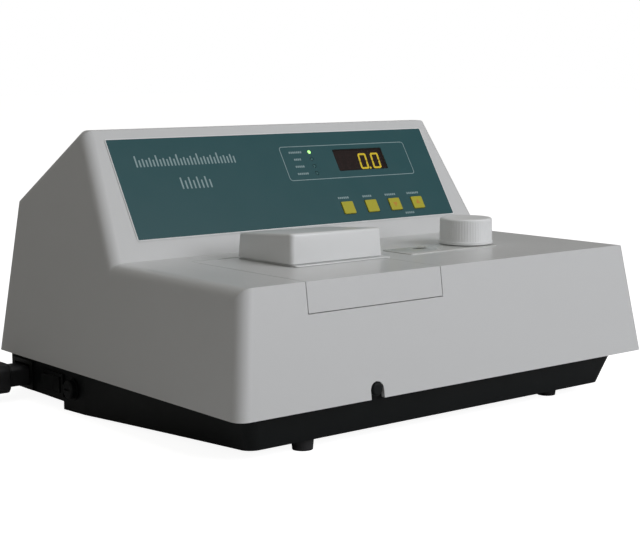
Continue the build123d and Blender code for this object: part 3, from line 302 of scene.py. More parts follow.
# ---- Shader expressions ----
finishes = {}               # every finish that has been made, by name


class Flow:
    """A shader socket that takes part in arithmetic."""

    def __init__(self, finish, socket):
        self.finish, self.socket = finish, socket

    def maths(self, operation, first, second):
        return self.finish.node("ShaderNodeMath", {"operation": operation}, {0: first, 1: second})

    def __add__(self, other):
        return self.maths("ADD", self, other)

    __radd__ = __add__

    def __sub__(self, other):
        return self.maths("SUBTRACT", self, other)

    def __rsub__(self, other):
        return self.maths("SUBTRACT", other, self)

    def __mul__(self, other):
        return self.maths("MULTIPLY", self, other)

    __rmul__ = __mul__

    def __gt__(self, other):
        return self.maths("GREATER_THAN", self, other)

    def __lt__(self, other):
        return self.maths("LESS_THAN", self, other)


class Finish:
    """A material: its shader's even values, and the one way of adding a node to it."""

    def __init__(self, name, **values):
        self.material = bpy.data.materials.new(name)
        self.material.use_nodes = True
        finishes[name] = self.material
        self.tree = self.material.node_tree
        self.shader = self.tree.nodes["Principled BSDF"]
        for key, value in values.items():
            self.feed(key.replace("_", " ").title().replace("Ior", "IOR"), value)

    def feed(self, socket, value):
        """Set one of the shader's sockets to a value or a link."""
        self.fill(self.shader.inputs[socket], value)

    def fill(self, socket, value):
        if isinstance(value, Flow):
            self.tree.links.new(value.socket, socket)
        elif socket.type == "RGBA":
            socket.default_value = (*value[:3], 1)
        else:
            socket.default_value = value

    def node(self, kind, settings=None, sockets=None, output=0):
        """Add a node: its settings first, then the values or links of its sockets."""
        node = self.tree.nodes.new(kind)
        for key, value in (settings or {}).items():
            if key == "stops":
                for stop, (position, shade) in zip(node.color_ramp.elements, value):
                    stop.position, stop.color = position, (*shade, 1)
            else:
                setattr(node, key, value)
        for key, value in (sockets or {}).items():
            self.fill(node.inputs[key], value)
        return Flow(self, node.outputs[output])

    def here(self):
        """Object coordinates."""
        return self.node("ShaderNodeTexCoord", output="Object")

    def axis(self, name):
        return self.node("ShaderNodeSeparateXYZ", sockets={0: self.here()}, output=name)

    def noise(self, scale, detail=2.0, stretch=None):
        """Noise of a number of spots to the metre, drawn out along an axis if asked."""
        where = self.here()
        if stretch:
            where = self.node("ShaderNodeMapping", sockets={"Vector": where, "Scale": stretch})
        return self.node(
            "ShaderNodeTexNoise", sockets={"Vector": where, "Scale": scale, "Detail": detail}
        )

    def blend(self, amount, first, second):
        """A mix of two colours."""
        return self.node(
            "ShaderNodeMix", {"data_type": "RGBA"}, {0: amount, 6: first, 7: second}, output=2
        )

    def bump(self, height, strength, depth):
        sockets = {"Height": height, "Strength": strength, "Distance": depth}
        self.feed("Normal", self.node("ShaderNodeBump", sockets=sockets))


def tinted(shade, factor):
    return tuple(max(0.0, min(1.0, part * factor)) for part in shade)


def moulded(name, shade, roughness, grain=2200.0, depth=0.02, mottle=0.03, coat=0.0, **values):
    """A moulded plastic: a fine sparked grain, faint flow marks and uneven gloss."""
    finish = Finish(name, coat_weight=coat, coat_roughness=0.12, **values)
    flow = finish.noise(14.0, 3.0)
    finish.feed("Base Color", finish.blend(flow, tinted(shade, 1 - mottle), tinted(shade, 1 + mottle)))
    finish.feed("Roughness", finish.noise(60.0, 4.0) * 0.12 + (roughness - 0.06))
    finish.bump(finish.noise(grain, 2.0), depth * 10, 0.00006)


def metal(name, shade, roughness, stretch=(1, 1, 1), grain=900.0):
    """A metal with a fine lay of scratches along one axis."""
    finish = Finish(name, metallic=1.0)
    lay = finish.noise(grain, 3.0, stretch)
    finish.feed("Base Color", finish.blend(lay, tinted(shade, 0.85), tinted(shade, 1.08)))
    finish.feed("Roughness", lay * 0.2 + (roughness - 0.1))
    finish.bump(lay, 0.15, 0.00004)


def clear(name, shade, alpha, roughness=0.06):
    """A clear or smoked window, part see-through, with faint wipe marks."""
    finish = Finish(name, alpha=alpha, specular_ior_level=0.6)
    haze = finish.noise(120.0, 4.0)
    finish.feed("Base Color", finish.blend(haze, shade, tinted(shade, 1.3)))
    finish.feed("Roughness", haze * 0.08 + roughness)


def glowing(name, shade, strength):
    """A lit bar whose glow varies a little with a fine grain."""
    finish = Finish(name, roughness=0.4, emission_strength=strength)
    grain = finish.noise(900.0)
    finish.feed("Base Color", tinted(shade, 0.6))
    finish.feed("Emission Color", finish.blend(grain, tinted(shade, 0.9), shade))


def indicator_lens(name, lit, dark):
    """The column of indicator lenses, of which the top one is lit."""
    low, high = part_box("indicator_leds")
    top = high.z - (high.z - low.z) * 0.2
    finish = Finish(name, roughness=0.25, emission_strength=1.1)
    mask = finish.axis("Z") > top
    haze = finish.noise(500.0)
    finish.feed("Base Color", finish.blend(mask, dark, finish.blend(haze, lit, tinted(lit, 0.9))))
    finish.feed("Emission Color", finish.blend(mask, (0, 0, 0), lit))


def board(name, shade, thickness=1.8):
    """A circuit board: solder resist over tracks, and dark packages above it."""
    finish = Finish(name, roughness=0.35)
    tracks = finish.node(
        "ShaderNodeTexVoronoi",
        {"feature": "DISTANCE_TO_EDGE"},
        {"Vector": finish.here(), "Scale": 160.0},
    )
    resist = finish.blend(tracks < 0.08, shade, tinted(shade, 1.9))
    above = finish.axis("Z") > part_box("main_board")[0].z + thickness * MM
    finish.feed("Base Color", finish.blend(above, resist, (0.02, 0.02, 0.022)))
    finish.bump(tracks, 0.2, 0.0001)


def coated(name, shade, top):
    """A clear-coated optical face with a faint bloom."""
    finish = Finish(name, metallic=1.0, coat_weight=0.6)
    bloom = finish.noise(70.0, 3.0)
    finish.feed("Base Color", finish.blend(bloom, shade, top))
    finish.feed("Roughness", bloom * 0.08 + 0.02)


def make_finishes():
    """Make the finish of every slot, and the few that single pieces have."""
    tone = bpy.context.scene.spectro_colours
    cover, tub = tuple(tone.cover), tuple(tone.tub)
    moulded("cover_white", cover, 0.36, mottle=0.012, coat=0.12)
    moulded("lid_white", tinted(cover, 1.2), 0.34, mottle=0.012, coat=0.1)
    # The knob takes the cover's tone lifted by 1.28: painted lightening that makes up for the shade in
    # its flutes.
    moulded("knob_white", tinted(cover, 1.28), 0.42, grain=3000.0)
    moulded("tub_black", tub, 0.5, grain=1300.0, depth=0.05, mottle=0.2, specular_ior_level=0.22)
    moulded("panel_teal", tuple(tone.panel), 0.40, grain=4200.0, mottle=0.05)
    moulded("key_yellow", tuple(tone.key), 0.42, grain=3600.0, mottle=0.06)
    clear("window_smoke", (0.030, 0.021, 0.020), 0.55)
    moulded("display_black", (0.046, 0.032, 0.029), 0.5, grain=3000.0)
    indicator_lens("led_green", tuple(tone.lamp), (0.040, 0.120, 0.125))
    board("board_green", (0.010, 0.085, 0.030))
    moulded("plate_silver", (0.60, 0.61, 0.59), 0.26, grain=2600.0, coat=0.2)
    metal("bench_alloy", (0.55, 0.56, 0.57), 0.38, (0.05, 1, 1))
    moulded("black_alloy", (0.022, 0.022, 0.025), 0.48, grain=1800.0, depth=0.03)
    metal("steel", (0.52, 0.52, 0.53), 0.24, (1, 0.03, 1))
    metal("brass", (0.70, 0.50, 0.22), 0.28, (1, 1, 0.1))
    moulded("gear_white", (0.72, 0.71, 0.66), 0.5, grain=1500.0)
    moulded("scale_print", (0.78, 0.77, 0.70), 0.55, grain=3500.0)
    moulded("shutter_black", (0.016, 0.016, 0.017), 0.6, grain=2600.0)
    clear("clear_glass", (0.55, 0.60, 0.60), 0.28, 0.02)
    # The dial's window is clear. This near-black tint is painted shade for the darkness it shows when
    # seen at a low angle.
    clear("lens_smoke", (0.012, 0.012, 0.012), 0.62, 0.10)
    coated("mirror_coat", (0.80, 0.81, 0.84), (0.86, 0.86, 0.87))
    moulded("rubber_black", (0.016, 0.016, 0.017), 0.62, grain=1600.0, depth=0.05)
    moulded("plug_black", (0.024, 0.025, 0.028), 0.44, grain=1500.0, depth=0.04)


# ---- Stage ----
def soft_light(name, place, target, size, power, shade):
    """A large area light aimed at a point."""
    deselect()
    bpy.ops.object.light_add(type="AREA", location=place)
    light = bpy.context.object
    light.name = name
    light.data.shape = "DISK"
    light.data.size = size
    light.data.energy = power
    light.data.color = shade
    light.rotation_euler = (Vector(target) - Vector(place)).to_track_quat("-Z", "Y").to_euler()


class SPECTRO_OT_stage(bpy.types.Operator):
    """Add the pale floor, the soft lights and the camera"""

    bl_idname = "spectro.stage"
    bl_label = "Stage"

    # The camera's place in metres, and its turns in degrees.
    eye = (-0.6672, -0.8421, 0.2358)
    yaw, pitch, roll = 38.488, -7.53, -0.318
    sensor_width = 36.0
    clip = (0.02, 100.0)
    # Name, place, size, share of the key light's power, and colour.
    lights = (
        ("key_light", (0.75, -1.9, 1.15), 1.5, 1.0, (0.98, 0.985, 1.03)),
        ("side_light", (-2.2, -0.3, 1.2), 1.2, 0.05, (1, 1, 1)),
        ("top_light", (0.1, 0.3, 2.0), 1.4, 0.26, (1, 1, 1)),
    )
    aim = (0.0, 0.0, 0.09)
    floor_shade = (0.62, 0.62, 0.62)
    floor_glow = 0.92       # what the lens sees of the floor
    sky_shade = (0.137, 0.131, 0.120)

    def execute(self, context):
        sizes = context.scene.spectro_stage
        context.scene.view_settings.view_transform = "Standard"
        deselect()
        bpy.ops.object.camera_add(location=self.eye)
        camera = context.object
        camera.name = "stage_camera"
        camera.data.lens = sizes.lens
        camera.data.sensor_width = self.sensor_width
        camera.data.clip_start, camera.data.clip_end = self.clip
        turn = Matrix.Rotation(-math.radians(self.yaw), 4, "Z")
        turn = turn @ Matrix.Rotation(math.radians(90 + self.pitch), 4, "X")
        turn = turn @ Matrix.Rotation(math.radians(self.roll), 4, "Z")
        camera.rotation_euler = turn.to_euler()
        context.scene.camera = camera

        deselect()
        bpy.ops.mesh.primitive_plane_add(size=sizes.floor_size)
        floor = context.object
        floor.name = "stage_floor"
        floor.data.materials.append(self.floor_finish())

        for name, place, size, share, shade in self.lights:
            soft_light(name, place, self.aim, size, sizes.key_power * share, shade)
        self.sky(context.scene)
        return {"FINISHED"}

    def floor_finish(self):
        """A pale floor that the lens sees as evenly lit."""
        finish = Finish(
            "stage_floor", base_color=self.floor_shade, roughness=0.9, emission_strength=self.floor_glow
        )
        seen = finish.node("ShaderNodeLightPath", output="Is Camera Ray")
        finish.feed("Emission Color", finish.blend(seen, (0, 0, 0), (1, 1, 1)))
        return finish.material

    def sky(self, scene):
        """A white surround that lights the object only softly."""
        scene.world = bpy.data.worlds.new("stage_surround")
        scene.world.use_nodes = True
        tree = scene.world.node_tree
        seen = tree.nodes.new("ShaderNodeLightPath")
        mix = tree.nodes.new("ShaderNodeMix")
        mix.data_type = "RGBA"
        mix.inputs[6].default_value = (*self.sky_shade, 1)
        mix.inputs[7].default_value = (WHITE_WORLD, WHITE_WORLD, WHITE_WORLD, 1)
        tree.links.new(seen.outputs["Is Camera Ray"], mix.inputs[0])
        tree.links.new(mix.outputs[2], tree.nodes["Background"].inputs["Color"])


# ---- Mains lead ----
class SPECTRO_OT_lead(bpy.types.Operator):
    """Add the mains lead from its strain relief to its plug, with the coil of spare length"""

    bl_idname = "spectro.lead"
    bl_label = "Mains lead"

    # Millimetres.
    route = (
        (-249.3, 126.0, 15.4), (-266.0, 126.0, 14.6), (-285.0, 127.0, 8.4), (-306.0, 128.3, 3.6),
        (-321.0, 128.6, 3.5),
    )
    tail = ((-379.2, 74.0, 10.3), (-379.0, 62.0, 9.8), (-376.5, 46.0, 9.8), (-374.0, 29.6, 10.0))
    centre = (-337.0, 86.0)
    first_angle = 88.0
    last_angle = 1985.0
    points_in_turn = 18
    zone = 60.0             # degrees over which the cord changes column or layer
    widen = 1.012           # makes up for the curve running inside its points
    declared = 1.3
    # Where each change starts, in degrees, and whether it moves a column in, a layer up or a column out.
    changes = ((378, "in"), (738, "in"), (1038, "up"), (1338, "out"), (1698, "out"))

    def coil(self, sizes):
        """Points of the wound turns, three columns wide and two layers high."""
        points = []
        step = 360.0 / self.points_in_turn
        count = int((self.last_angle - self.first_angle) / step)
        for k in range(count + 1):
            angle = self.first_angle + k * step
            column, layer = 0.0, 0.0
            for start, kind in self.changes:
                part = min(1.0, max(0.0, (angle - start) / self.zone))
                column += part * {"in": 1, "out": -1}.get(kind, 0)
                layer += part * (kind == "up")
            radius = (sizes.coil_radius - column * sizes.coil_pitch) * self.widen
            turn = math.radians(angle)
            points.append(
                (
                    self.centre[0] * MM + radius * math.cos(turn),
                    self.centre[1] * MM + radius * math.sin(turn),
                    sizes.cord_radius + layer * sizes.coil_pitch,
                )
            )
        return points

    def execute(self, context):
        sizes = context.scene.spectro_lead
        points = [tuple(v * MM for v in p) for p in self.route]
        points += self.coil(sizes)
        points += [tuple(v * MM for v in p) for p in self.tail]
        curve = bpy.data.curves.new("mains_lead", "CURVE")
        curve.dimensions = "3D"
        curve.resolution_u = 4
        curve.bevel_depth = sizes.cord_radius
        curve.bevel_resolution = 4
        curve.use_fill_caps = True
        spline = curve.splines.new("NURBS")
        spline.points.add(len(points) - 1)
        for point, place in zip(spline.points, points):
            point.co = (*place, 1)
        spline.order_u = 3
        spline.use_endpoint_u = True
        lead = bpy.data.objects.new("mains_lead", curve)
        context.collection.objects.link(lead)
        curve.materials.append(finishes["rubber_black"])
        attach(lead, BODY)
        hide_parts("mains_cord", "cord_coil")
        return {"FINISHED"}


def swept_body(start, sections, corner):
    """A moulded body run through rectangular sections: (distance, width, height, drop)."""
    first = sections[0]
    piece = sheet(first[1], first[2], corner)
    with editing(piece):
        everything()
        for before, after in zip(sections, sections[1:]):
            push(0, after[3] - before[3], after[0] - before[0])
            bpy.ops.transform.resize(
                value=(after[1] / before[1], after[2] / before[2], 1),
                center_override=(0, after[3], after[0] - first[0]),
            )
        outward()
    piece.data.transform(start)
    return piece


def leftward(x, y, z):
    """The matrix that runs a body along -X from a point, its width along Y and its height along Z."""
    return Matrix(((0, 0, -1, x), (1, 0, 0, y), (0, 1, 0, z), (0, 0, 0, 1)))


class SPECTRO_OT_connector(bpy.types.Operator):
    """Model the lead's moulded connector and its tapered strain relief"""

    bl_idname = "spectro.connector"
    bl_label = "Lead connector"

    # Millimetres, and shares of a size where that is said.
    body = (20.0, 26.6, 21.8)
    grip = (24.0, 22.6, 15.6, -3.4)
    insert = (22.0, 14.6)
    corner = 4.0
    ribs = 5
    widest = 1.12           # the first rib as a share of the grip
    taper = 0.05            # how much slimmer each rib is than the last, as a share of the grip
    rise = 0.5              # how much higher each rib lies
    groove = 2.0            # how much slimmer the grip is between two ribs
    end = (15.0, 13.8)
    relief_rings = 6
    relief_sides = 28
    relief_tip = 4.6
    # Steps along one ring of the relief and the size after each, as shares.
    relief_steps = ((0.62, 1.0), (0.06, 0.86), (0.26, 0.86), (0.06, 1.0))

    def execute(self, context):
        self.connector()
        self.relief()
        return {"FINISHED"}

    def connector(self):
        """The body that fills the inlet, and its ribbed grip."""
        low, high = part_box("inlet_connector")
        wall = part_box("mains_inlet")[0].x
        length, width, height = (v * MM for v in self.body)
        reach, grip_width, grip_height, drop = (v * MM for v in self.grip)
        insert_width, insert_height = (v * MM for v in self.insert)
        end_width, end_height = (v * MM for v in self.end)
        groove = self.groove * MM
        sections = [
            (wall - high.x, insert_width, insert_height, 0),
            (0.0003, insert_width, insert_height, 0),
            (0.0006, width - 0.0016, height - 0.0016, 0),
            (0.0016, width, height, 0),
            (length - 0.004, width, height, 0),
            (length, width - 0.0026, height - 0.0034, drop * 0.5),
        ]
        pitch = (reach - 0.004) / self.ribs
        for k in range(self.ribs):
            at = length + 0.001 + k * pitch
            wide = grip_width * (self.widest - self.taper * k)
            tall = grip_height * (self.widest - self.taper * k)
            sag = drop + self.rise * MM * k
            sections += [
                (at + 0.0006, wide, tall, sag),
                (at + pitch - 0.0012, wide, tall, sag),
                (at + pitch - 0.0008, wide - groove, tall - groove, sag),
                (at + pitch - 0.0002, wide - groove, tall - groove, sag),
            ]
        sections.append((length + reach - 0.0002, end_width, end_height, drop * 0.3))
        place = leftward(wall, (low.y + high.y) / 2, high.z - height / 2)
        settle(
            swept_body(place, sections, self.corner * MM), "lead_connector", "plug_black",
            stands_for=("inlet_connector",), angle=30,
        )

    def relief(self):
        """A cone of rings joined by a slimmer core."""
        low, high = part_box("strain_relief")
        inlet_low, inlet_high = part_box("inlet_connector")
        radius = (high.z - low.z) / 2
        tip = self.relief_tip * MM
        step = (high.x - low.x) / self.relief_rings
        piece = disc(self.relief_sides, radius)
        at, size = 0.0, radius
        with editing(piece):
            everything()
            for k in range(self.relief_rings):
                wide = radius + (tip - radius) * (k + 1) / self.relief_rings
                for part, share in self.relief_steps:
                    push(0, 0, step * part)
                    at += step * part
                    scale = wide * share / size
                    bpy.ops.transform.resize(value=(scale, scale, 1), center_override=(0, 0, at))
                    size = wide * share
            outward()
        place = leftward(high.x, (inlet_low.y + inlet_high.y) / 2, (high.z + low.z) / 2)
        settle(piece, "lead_relief", "plug_black", stands_for=("strain_relief",), place=place, angle=40)


class SPECTRO_OT_plug(bpy.types.Operator):
    """Model the mains plug at the lead's far end and its three blades"""

    bl_idname = "spectro.plug"
    bl_label = "Mains plug"

    blade = (1.6, 16.0, 6.3)
    blade_spread = 6.3      # of the two flat blades from the middle
    blade_rise, pin_drop = 2.0, 6.5
    blade_root = 0.002      # metres of each blade inside the plug
    grip_ribs = 4
    grip_pitch = 0.0045

    def execute(self, context):
        low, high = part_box("mains_plug")
        width, height = high.x - low.x, high.z - low.z
        blade_thick, blade_long, blade_tall = (v * MM for v in self.blade)
        face_y = low.y + blade_long
        body = high.y - face_y
        middle_x = (low.x + high.x) / 2
        place = Matrix(
            ((1, 0, 0, middle_x), (0, 0, 1, face_y), (0, 1, 0, height / 2 + low.z), (0, 0, 0, 1))
        )
        sections = [
            (0.0, width - 0.003, height - 0.003, 0),
            (0.0015, width, height, 0),
            (0.0105, width, height, 0),
            (0.0125, width - 0.006, height - 0.004, 0),
        ]
        for k in range(self.grip_ribs):
            at = 0.0140 + k * self.grip_pitch
            slim = 0.006 + 0.0012 * k
            for step, groove in ((0, 0), (0.0030, 0), (0.0034, 0.002), (0.0041, 0.002)):
                sections.append((at + step, width - slim - groove, height - slim * 0.7 - groove, 0))
        sections += [(body - 0.006, 0.0125, 0.0125, 0), (body, 0.0098, 0.0098, 0)]
        plug = swept_body(place, sections, 0.0045)
        settle(plug, "lead_plug", "plug_black", stands_for=("mains_plug",), angle=30)
        blank = tile(blade_thick, blade_tall, 0.0, blade_long + self.blade_root)
        with editing(blank):
            pick(blank, "edges", lambda e: min(v.co.z for v in e.verts) > blade_long)
            bpy.ops.mesh.bevel(offset=0.0005, segments=2)
        flat = Matrix.Rotation(math.radians(90), 4, "X")
        turned = Matrix.Rotation(math.radians(90), 4, "Y")
        y, z = face_y + self.blade_root, low.z + height / 2
        spread, rise = self.blade_spread * MM, self.blade_rise * MM
        places = [
            shift(middle_x - spread, y, z + rise) @ flat,
            shift(middle_x + spread, y, z + rise) @ flat,
            shift(middle_x, y, z - self.pin_drop * MM) @ turned @ flat,
        ]
        settle(copies(blank, places), "lead_plug_blades", "brass")
        return {"FINISHED"}


# ---- Panel print ----
class SPECTRO_OT_print(bpy.types.Operator):
    """Print the frame line, the title scale and the small marks on the panel, and lay a pale ring round
    it as a painted edge highlight
    """

    bl_idname = "spectro.print"
    bl_label = "Panel print"

    # Millimetres from the middle of the panel's top edge: left, right, top, bottom.
    frame_line = (-1.75, 124.85, 11.55, 41.25)
    frame_corner = 2.6
    # Area, number of strokes, and their heights as shares of the area's: the title and the tag.
    scales = (
        ((-131.8, -44.4, 13.75, 22.95), 30, (1.0, 0.62, 0.72, 0.62, 0.8, 0.62)),
        ((-100.1, -72.1, 32.75, 42.15), 8, (1.0, 0.72)),
    )
    lamp_marks = ((5.9, 18.5), (8.7, 15.7), (7.7, 16.5), (7.3, 18.0))
    key_marks = (11.0, 9.4, 11.4, 12.6)
    edge = 0.75             # pale ring round the overlay, a painted edge highlight
    edge_corner = 1.6
    sunk = 0.3              # share of the ink's height that lies below the surface
    dash = (1.9, 0.68, 1.7, 0.25)   # pitch, share of it that is filled, height, corner

    def spot(self, u, v, ink):
        """The matrix of a mark u millimetres right and v down from the middle of the top edge."""
        _, high = panel.box("keypad_panel")
        return panel.place(u * MM, high.y - v * MM, -ink * self.sunk)

    def strokes(self, area, count, heights, ink, stroke):
        """A row of upright strokes whose heights repeat in a pattern."""
        left, right, top, bottom = area
        made = []
        for k in range(count):
            x = left + (right - left) * (k + 0.5) / count
            tall = (bottom - top) * heights[k % len(heights)]
            bar = tile(stroke, tall * MM, stroke * 0.3, ink)
            bar.data.transform(self.spot(x, bottom - tall / 2, ink))
            made.append(bar)
        return made

    def dashes(self, left, right, v, ink):
        """A small mark: a row of short dashes."""
        usual_pitch, filled, height, corner = self.dash
        count = max(3, round((right - left) / usual_pitch))
        pitch = (right - left) / count
        blank = tile(pitch * filled * MM, height * MM, corner * MM, ink)
        return copies(blank, [self.spot(left + pitch * (k + 0.5), v, ink) for k in range(count)])

    def execute(self, context):
        sizes = context.scene.spectro_print
        ink = sizes.ink_height * 1.3
        left, right, top, bottom = self.frame_line
        line = ring(
            (right - left) * MM, (bottom - top) * MM, self.frame_corner * MM, sizes.line_width, ink
        )
        line.data.transform(self.spot((left + right) / 2, (top + bottom) / 2, ink))
        made = [line]
        for scale in self.scales:
            made += self.strokes(*scale, ink, sizes.stroke_width)
        panel_low, panel_high = panel.box("keypad_panel")
        lamps_low, lamps_high = panel.box("indicator_leds")
        lamp_step = (lamps_high.y - lamps_low.y - 0.003) / 3
        for k, (start, end) in enumerate(self.lamp_marks):
            v = (panel_high.y - (lamps_high.y - 0.0015 - k * lamp_step)) / MM
            made.append(self.dashes(start, end, v, ink))
        for k, width in enumerate(self.key_marks):
            low, high = panel.box(f"key_{k + 1}")
            u = (low.x + high.x) / 2 / MM - 1.4
            v = (panel_high.y - high.y) / MM - 2.4
            made.append(self.dashes(u - width / 2, u + width / 2, v, ink))
        low, _ = panel.box("key_3")
        _, next_high = panel.box("key_4")
        u = (low.x + next_high.x) / 2 / MM
        made.append(self.dashes(u - 4.8, u + 4.8, (panel_high.y - low.y) / MM + 1.9, ink))
        # The pale ring round the overlay is a painted highlight: it stands for the light caught by the
        # edge of the overlay's recess.
        edge = self.edge * MM
        edge_highlight_ring = ring(
            panel_high.x - panel_low.x + 2 * edge, panel_high.y - panel_low.y + 2 * edge,
            self.edge_corner * MM, edge, 2 * ink,
        )
        middle = (panel_high + panel_low) / 2
        edge_highlight_ring.data.transform(panel.place(middle.x, middle.y, -ink))
        settle(edge_highlight_ring, "panel_trim", "lid_white")
        tone = tuple(context.scene.spectro_colours.ink)
        moulded("panel_ink", tone, 0.5, grain=5000.0, mottle=0.08)
        settle(join(made), "panel_print", "panel_ink")
        return {"FINISHED"}


class SPECTRO_OT_key_marks(bpy.types.Operator):
    """Print an arrow on each of the two keys that step up and down"""

    bl_idname = "spectro.key_marks"
    bl_label = "Key marks"

    # Millimetres: from the middle to a point, the points' rounding, and the thickness.
    size, blunt, thickness = 2.6, 0.3, 0.25

    def execute(self, context):
        ink = context.scene.spectro_print.ink_height
        tone = tuple(context.scene.spectro_colours.arrow)
        moulded("key_ink", tone, 0.5, grain=5000.0, mottle=0.08)
        for key, turn in (("key_3", 180), ("key_4", 0)):
            low, high = panel.box(key)
            arrow = disc(3, self.size * MM)
            with editing(arrow):
                everything()
                bpy.ops.mesh.bevel(offset=self.blunt * MM, segments=2, affect="VERTICES")
            solid(arrow, self.thickness * MM)
            middle = (low + high) / 2
            place = panel.place(middle.x, middle.y, high.z - 0.0002 + ink * 0.5)
            place = place @ Matrix.Rotation(math.radians(turn), 4, "Z")
            settle(arrow, f"{key}_arrow", "key_ink", body=key, place=place)
        return {"FINISHED"}


class SPECTRO_OT_display(bpy.types.Operator):
    """Model the bars of the four digits behind the smoked window"""

    bl_idname = "spectro.display"
    bl_label = "Display digits"

    lean = math.radians(5)
    thickness = 0.3
    offset = (1.6, 0.5)     # of the digits to the left and down from the module's middle
    lit_digits = {2: "abcdefp", 3: "abcdef"}

    def bar(self, span, width, thickness):
        """One pointed bar of a digit, lying along X."""
        piece = disc(4, width / 2)
        reach = (span - width) / 2 - 0.0001
        with editing(piece):
            pick(piece, "verts", lambda v: abs(v.co.x) < width * 0.1)
            bpy.ops.mesh.bevel(offset=0.0001, affect="VERTICES", segments=1)
            pick(piece, "verts", lambda v: v.co.x > 0)
            bpy.ops.transform.translate(value=(reach, 0, 0))
            pick(piece, "verts", lambda v: v.co.x < 0)
            bpy.ops.transform.translate(value=(-reach, 0, 0))
        return solid(piece, thickness)

    def digit(self, names, sizes, thickness):
        """The bars of one digit, lettered a to g from the top clockwise, p for the point."""
        width = sizes.digit_width - sizes.segment
        half = (sizes.digit_height - sizes.segment) / 2
        upright = Matrix.Rotation(math.radians(90), 4, "Z")
        places = {
            "a": shift(0, half),
            "g": shift(0, 0),
            "d": shift(0, -half),
            "f": shift(-width / 2, half / 2) @ upright,
            "b": shift(width / 2, half / 2) @ upright,
            "e": shift(-width / 2, -half / 2) @ upright,
            "c": shift(width / 2, -half / 2) @ upright,
        }
        made = []
        for name in names:
            if name == "p":
                dot = solid(disc(14, sizes.segment * 0.55), thickness)
                dot.data.transform(shift(width / 2 + sizes.segment * 1.2, -half))
                made.append(dot)
                continue
            span = width if name in "agd" else half
            piece = self.bar(span + sizes.segment * 0.45, sizes.segment, thickness)
            piece.data.transform(places[name])
            made.append(piece)
        whole = join(made)
        slant = Matrix.Identity(4)
        slant[0][1] = math.tan(self.lean)
        whole.data.transform(slant)
        return whole

    def execute(self, context):
        sizes = context.scene.spectro_display
        low, high = panel.box("display_module")
        thickness = self.thickness * MM
        top = high.z - thickness / 3
        middle = (low + high) / 2
        lit, dark = [], []
        for place in range(4):
            x = middle.x + (place - 1.5) * sizes.digit_pitch - self.offset[0] * MM
            for group, names in (
                (lit, self.lit_digits.get(place, "")),
                (dark, "".join(n for n in "abcdefg" if n not in self.lit_digits.get(place, ""))),
            ):
                if names:
                    digit = self.digit(names, sizes, thickness)
                    digit.data.transform(panel.place(x, middle.y - self.offset[1] * MM, top))
                    group.append(digit)
        tone = tuple(context.scene.spectro_colours.digits)
        glowing("digit_glow", tone, 2.6)
        moulded("digit_dark", (0.120, 0.052, 0.045), 0.45, grain=4000.0)
        settle(join(lit), "display_lit_bars", "digit_glow")
        settle(join(dark), "display_dark_bars", "digit_dark")
        return {"FINISHED"}


# ---- Lid cap and dial bezel ----
def round_over(piece, test, size, segments=4):
    """Round the edges of a piece that pass a test."""
    with editing(piece):
        pick(piece, "edges", test)
        bpy.ops.mesh.bevel(offset=size, segments=segments, profile=0.5)
        outward()


class SPECTRO_OT_lid_cap(bpy.types.Operator):
    """Model the raised cap of the sample lid, its dark neck and the ledge under it"""

    bl_idname = "spectro.lid_cap"
    bl_label = "Lid cap"

    # Millimetres by which the cap's plan differs from the box of its node: left, right, front, rear.
    plan_change = (-1.7, 2.2, 1.4, -2.0)
    ledge_change = (0.2, 6.0, -2.2, -1.0)
    corner = 3.4
    draft = 2.2             # how far each side leans in over the cap's height
    fall_rear, fall_right = 4.0, 1.2
    neck = 0.9
    neck_inset, neck_corner = 2.2, 2.0
    ledge = (0.25, 0.55)    # its underside above the lid, and its thickness
    ledge_corner = 1.6
    top_round, foot_round, ledge_round = 2.0, 0.3, 0.2

    def plate(self, low, high, change, corner, thickness):
        left, right, front, rear = (v * MM for v in change)
        width = (high.x + right) - (low.x + left)
        depth = (high.y + rear) - (low.y + front)
        piece = tile(width, depth, corner, thickness)
        middle = Vector(((high.x + right + low.x + left) / 2, (high.y + rear + low.y + front) / 2, 0))
        return piece, middle, width, depth

    def execute(self, context):
        low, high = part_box("lid_block")
        under, thick = (v * MM for v in self.ledge)
        foot = under + thick + self.neck * MM
        height = high.z - low.z - foot
        cap, middle, width, depth = self.plate(low, high, self.plan_change, self.corner * MM, height)
        lean = self.draft * MM
        with editing(cap):
            pick(cap, "verts", lambda v: v.co.z > height / 2)
            bpy.ops.transform.resize(
                value=(1 - lean / width, 1 - lean / depth, 1), center_override=(0, 0, height)
            )
            mesh = bmesh.from_edit_mesh(cap.data)
            for vert in mesh.verts:
                if vert.co.z > height / 2:
                    vert.co.z -= self.fall_rear * MM * (vert.co.y / depth + 0.5)
                    vert.co.z -= self.fall_right * MM * (vert.co.x / width + 0.5)
            bmesh.update_edit_mesh(cap.data)
        round_over(cap, lambda e: min(v.co.z for v in e.verts) > height / 2, self.top_round * MM, 5)
        round_over(cap, lambda e: max(v.co.z for v in e.verts) < 0.1 * MM, self.foot_round * MM, 2)
        cap.data.transform(shift(middle.x, middle.y, low.z + foot))
        inset = self.neck_inset
        neck_change = [v + d for v, d in zip(self.plan_change, (inset, -inset, inset, -inset))]
        neck, middle, _, _ = self.plate(low, high, neck_change, self.neck_corner * MM, foot)
        neck.data.transform(shift(middle.x, middle.y, low.z))
        ledge, middle, _, _ = self.plate(
            low, high, self.ledge_change, self.ledge_corner * MM, thick
        )
        round_over(ledge, lambda e: min(v.co.z for v in e.verts) > thick / 2, self.ledge_round * MM, 2)
        ledge.data.transform(shift(middle.x, middle.y, low.z + under))
        settle(
            join([neck, ledge, cap]), "lid_cap", "lid_white", body="lid",
            stands_for=("lid_block",), angle=40,
        )
        return {"FINISHED"}


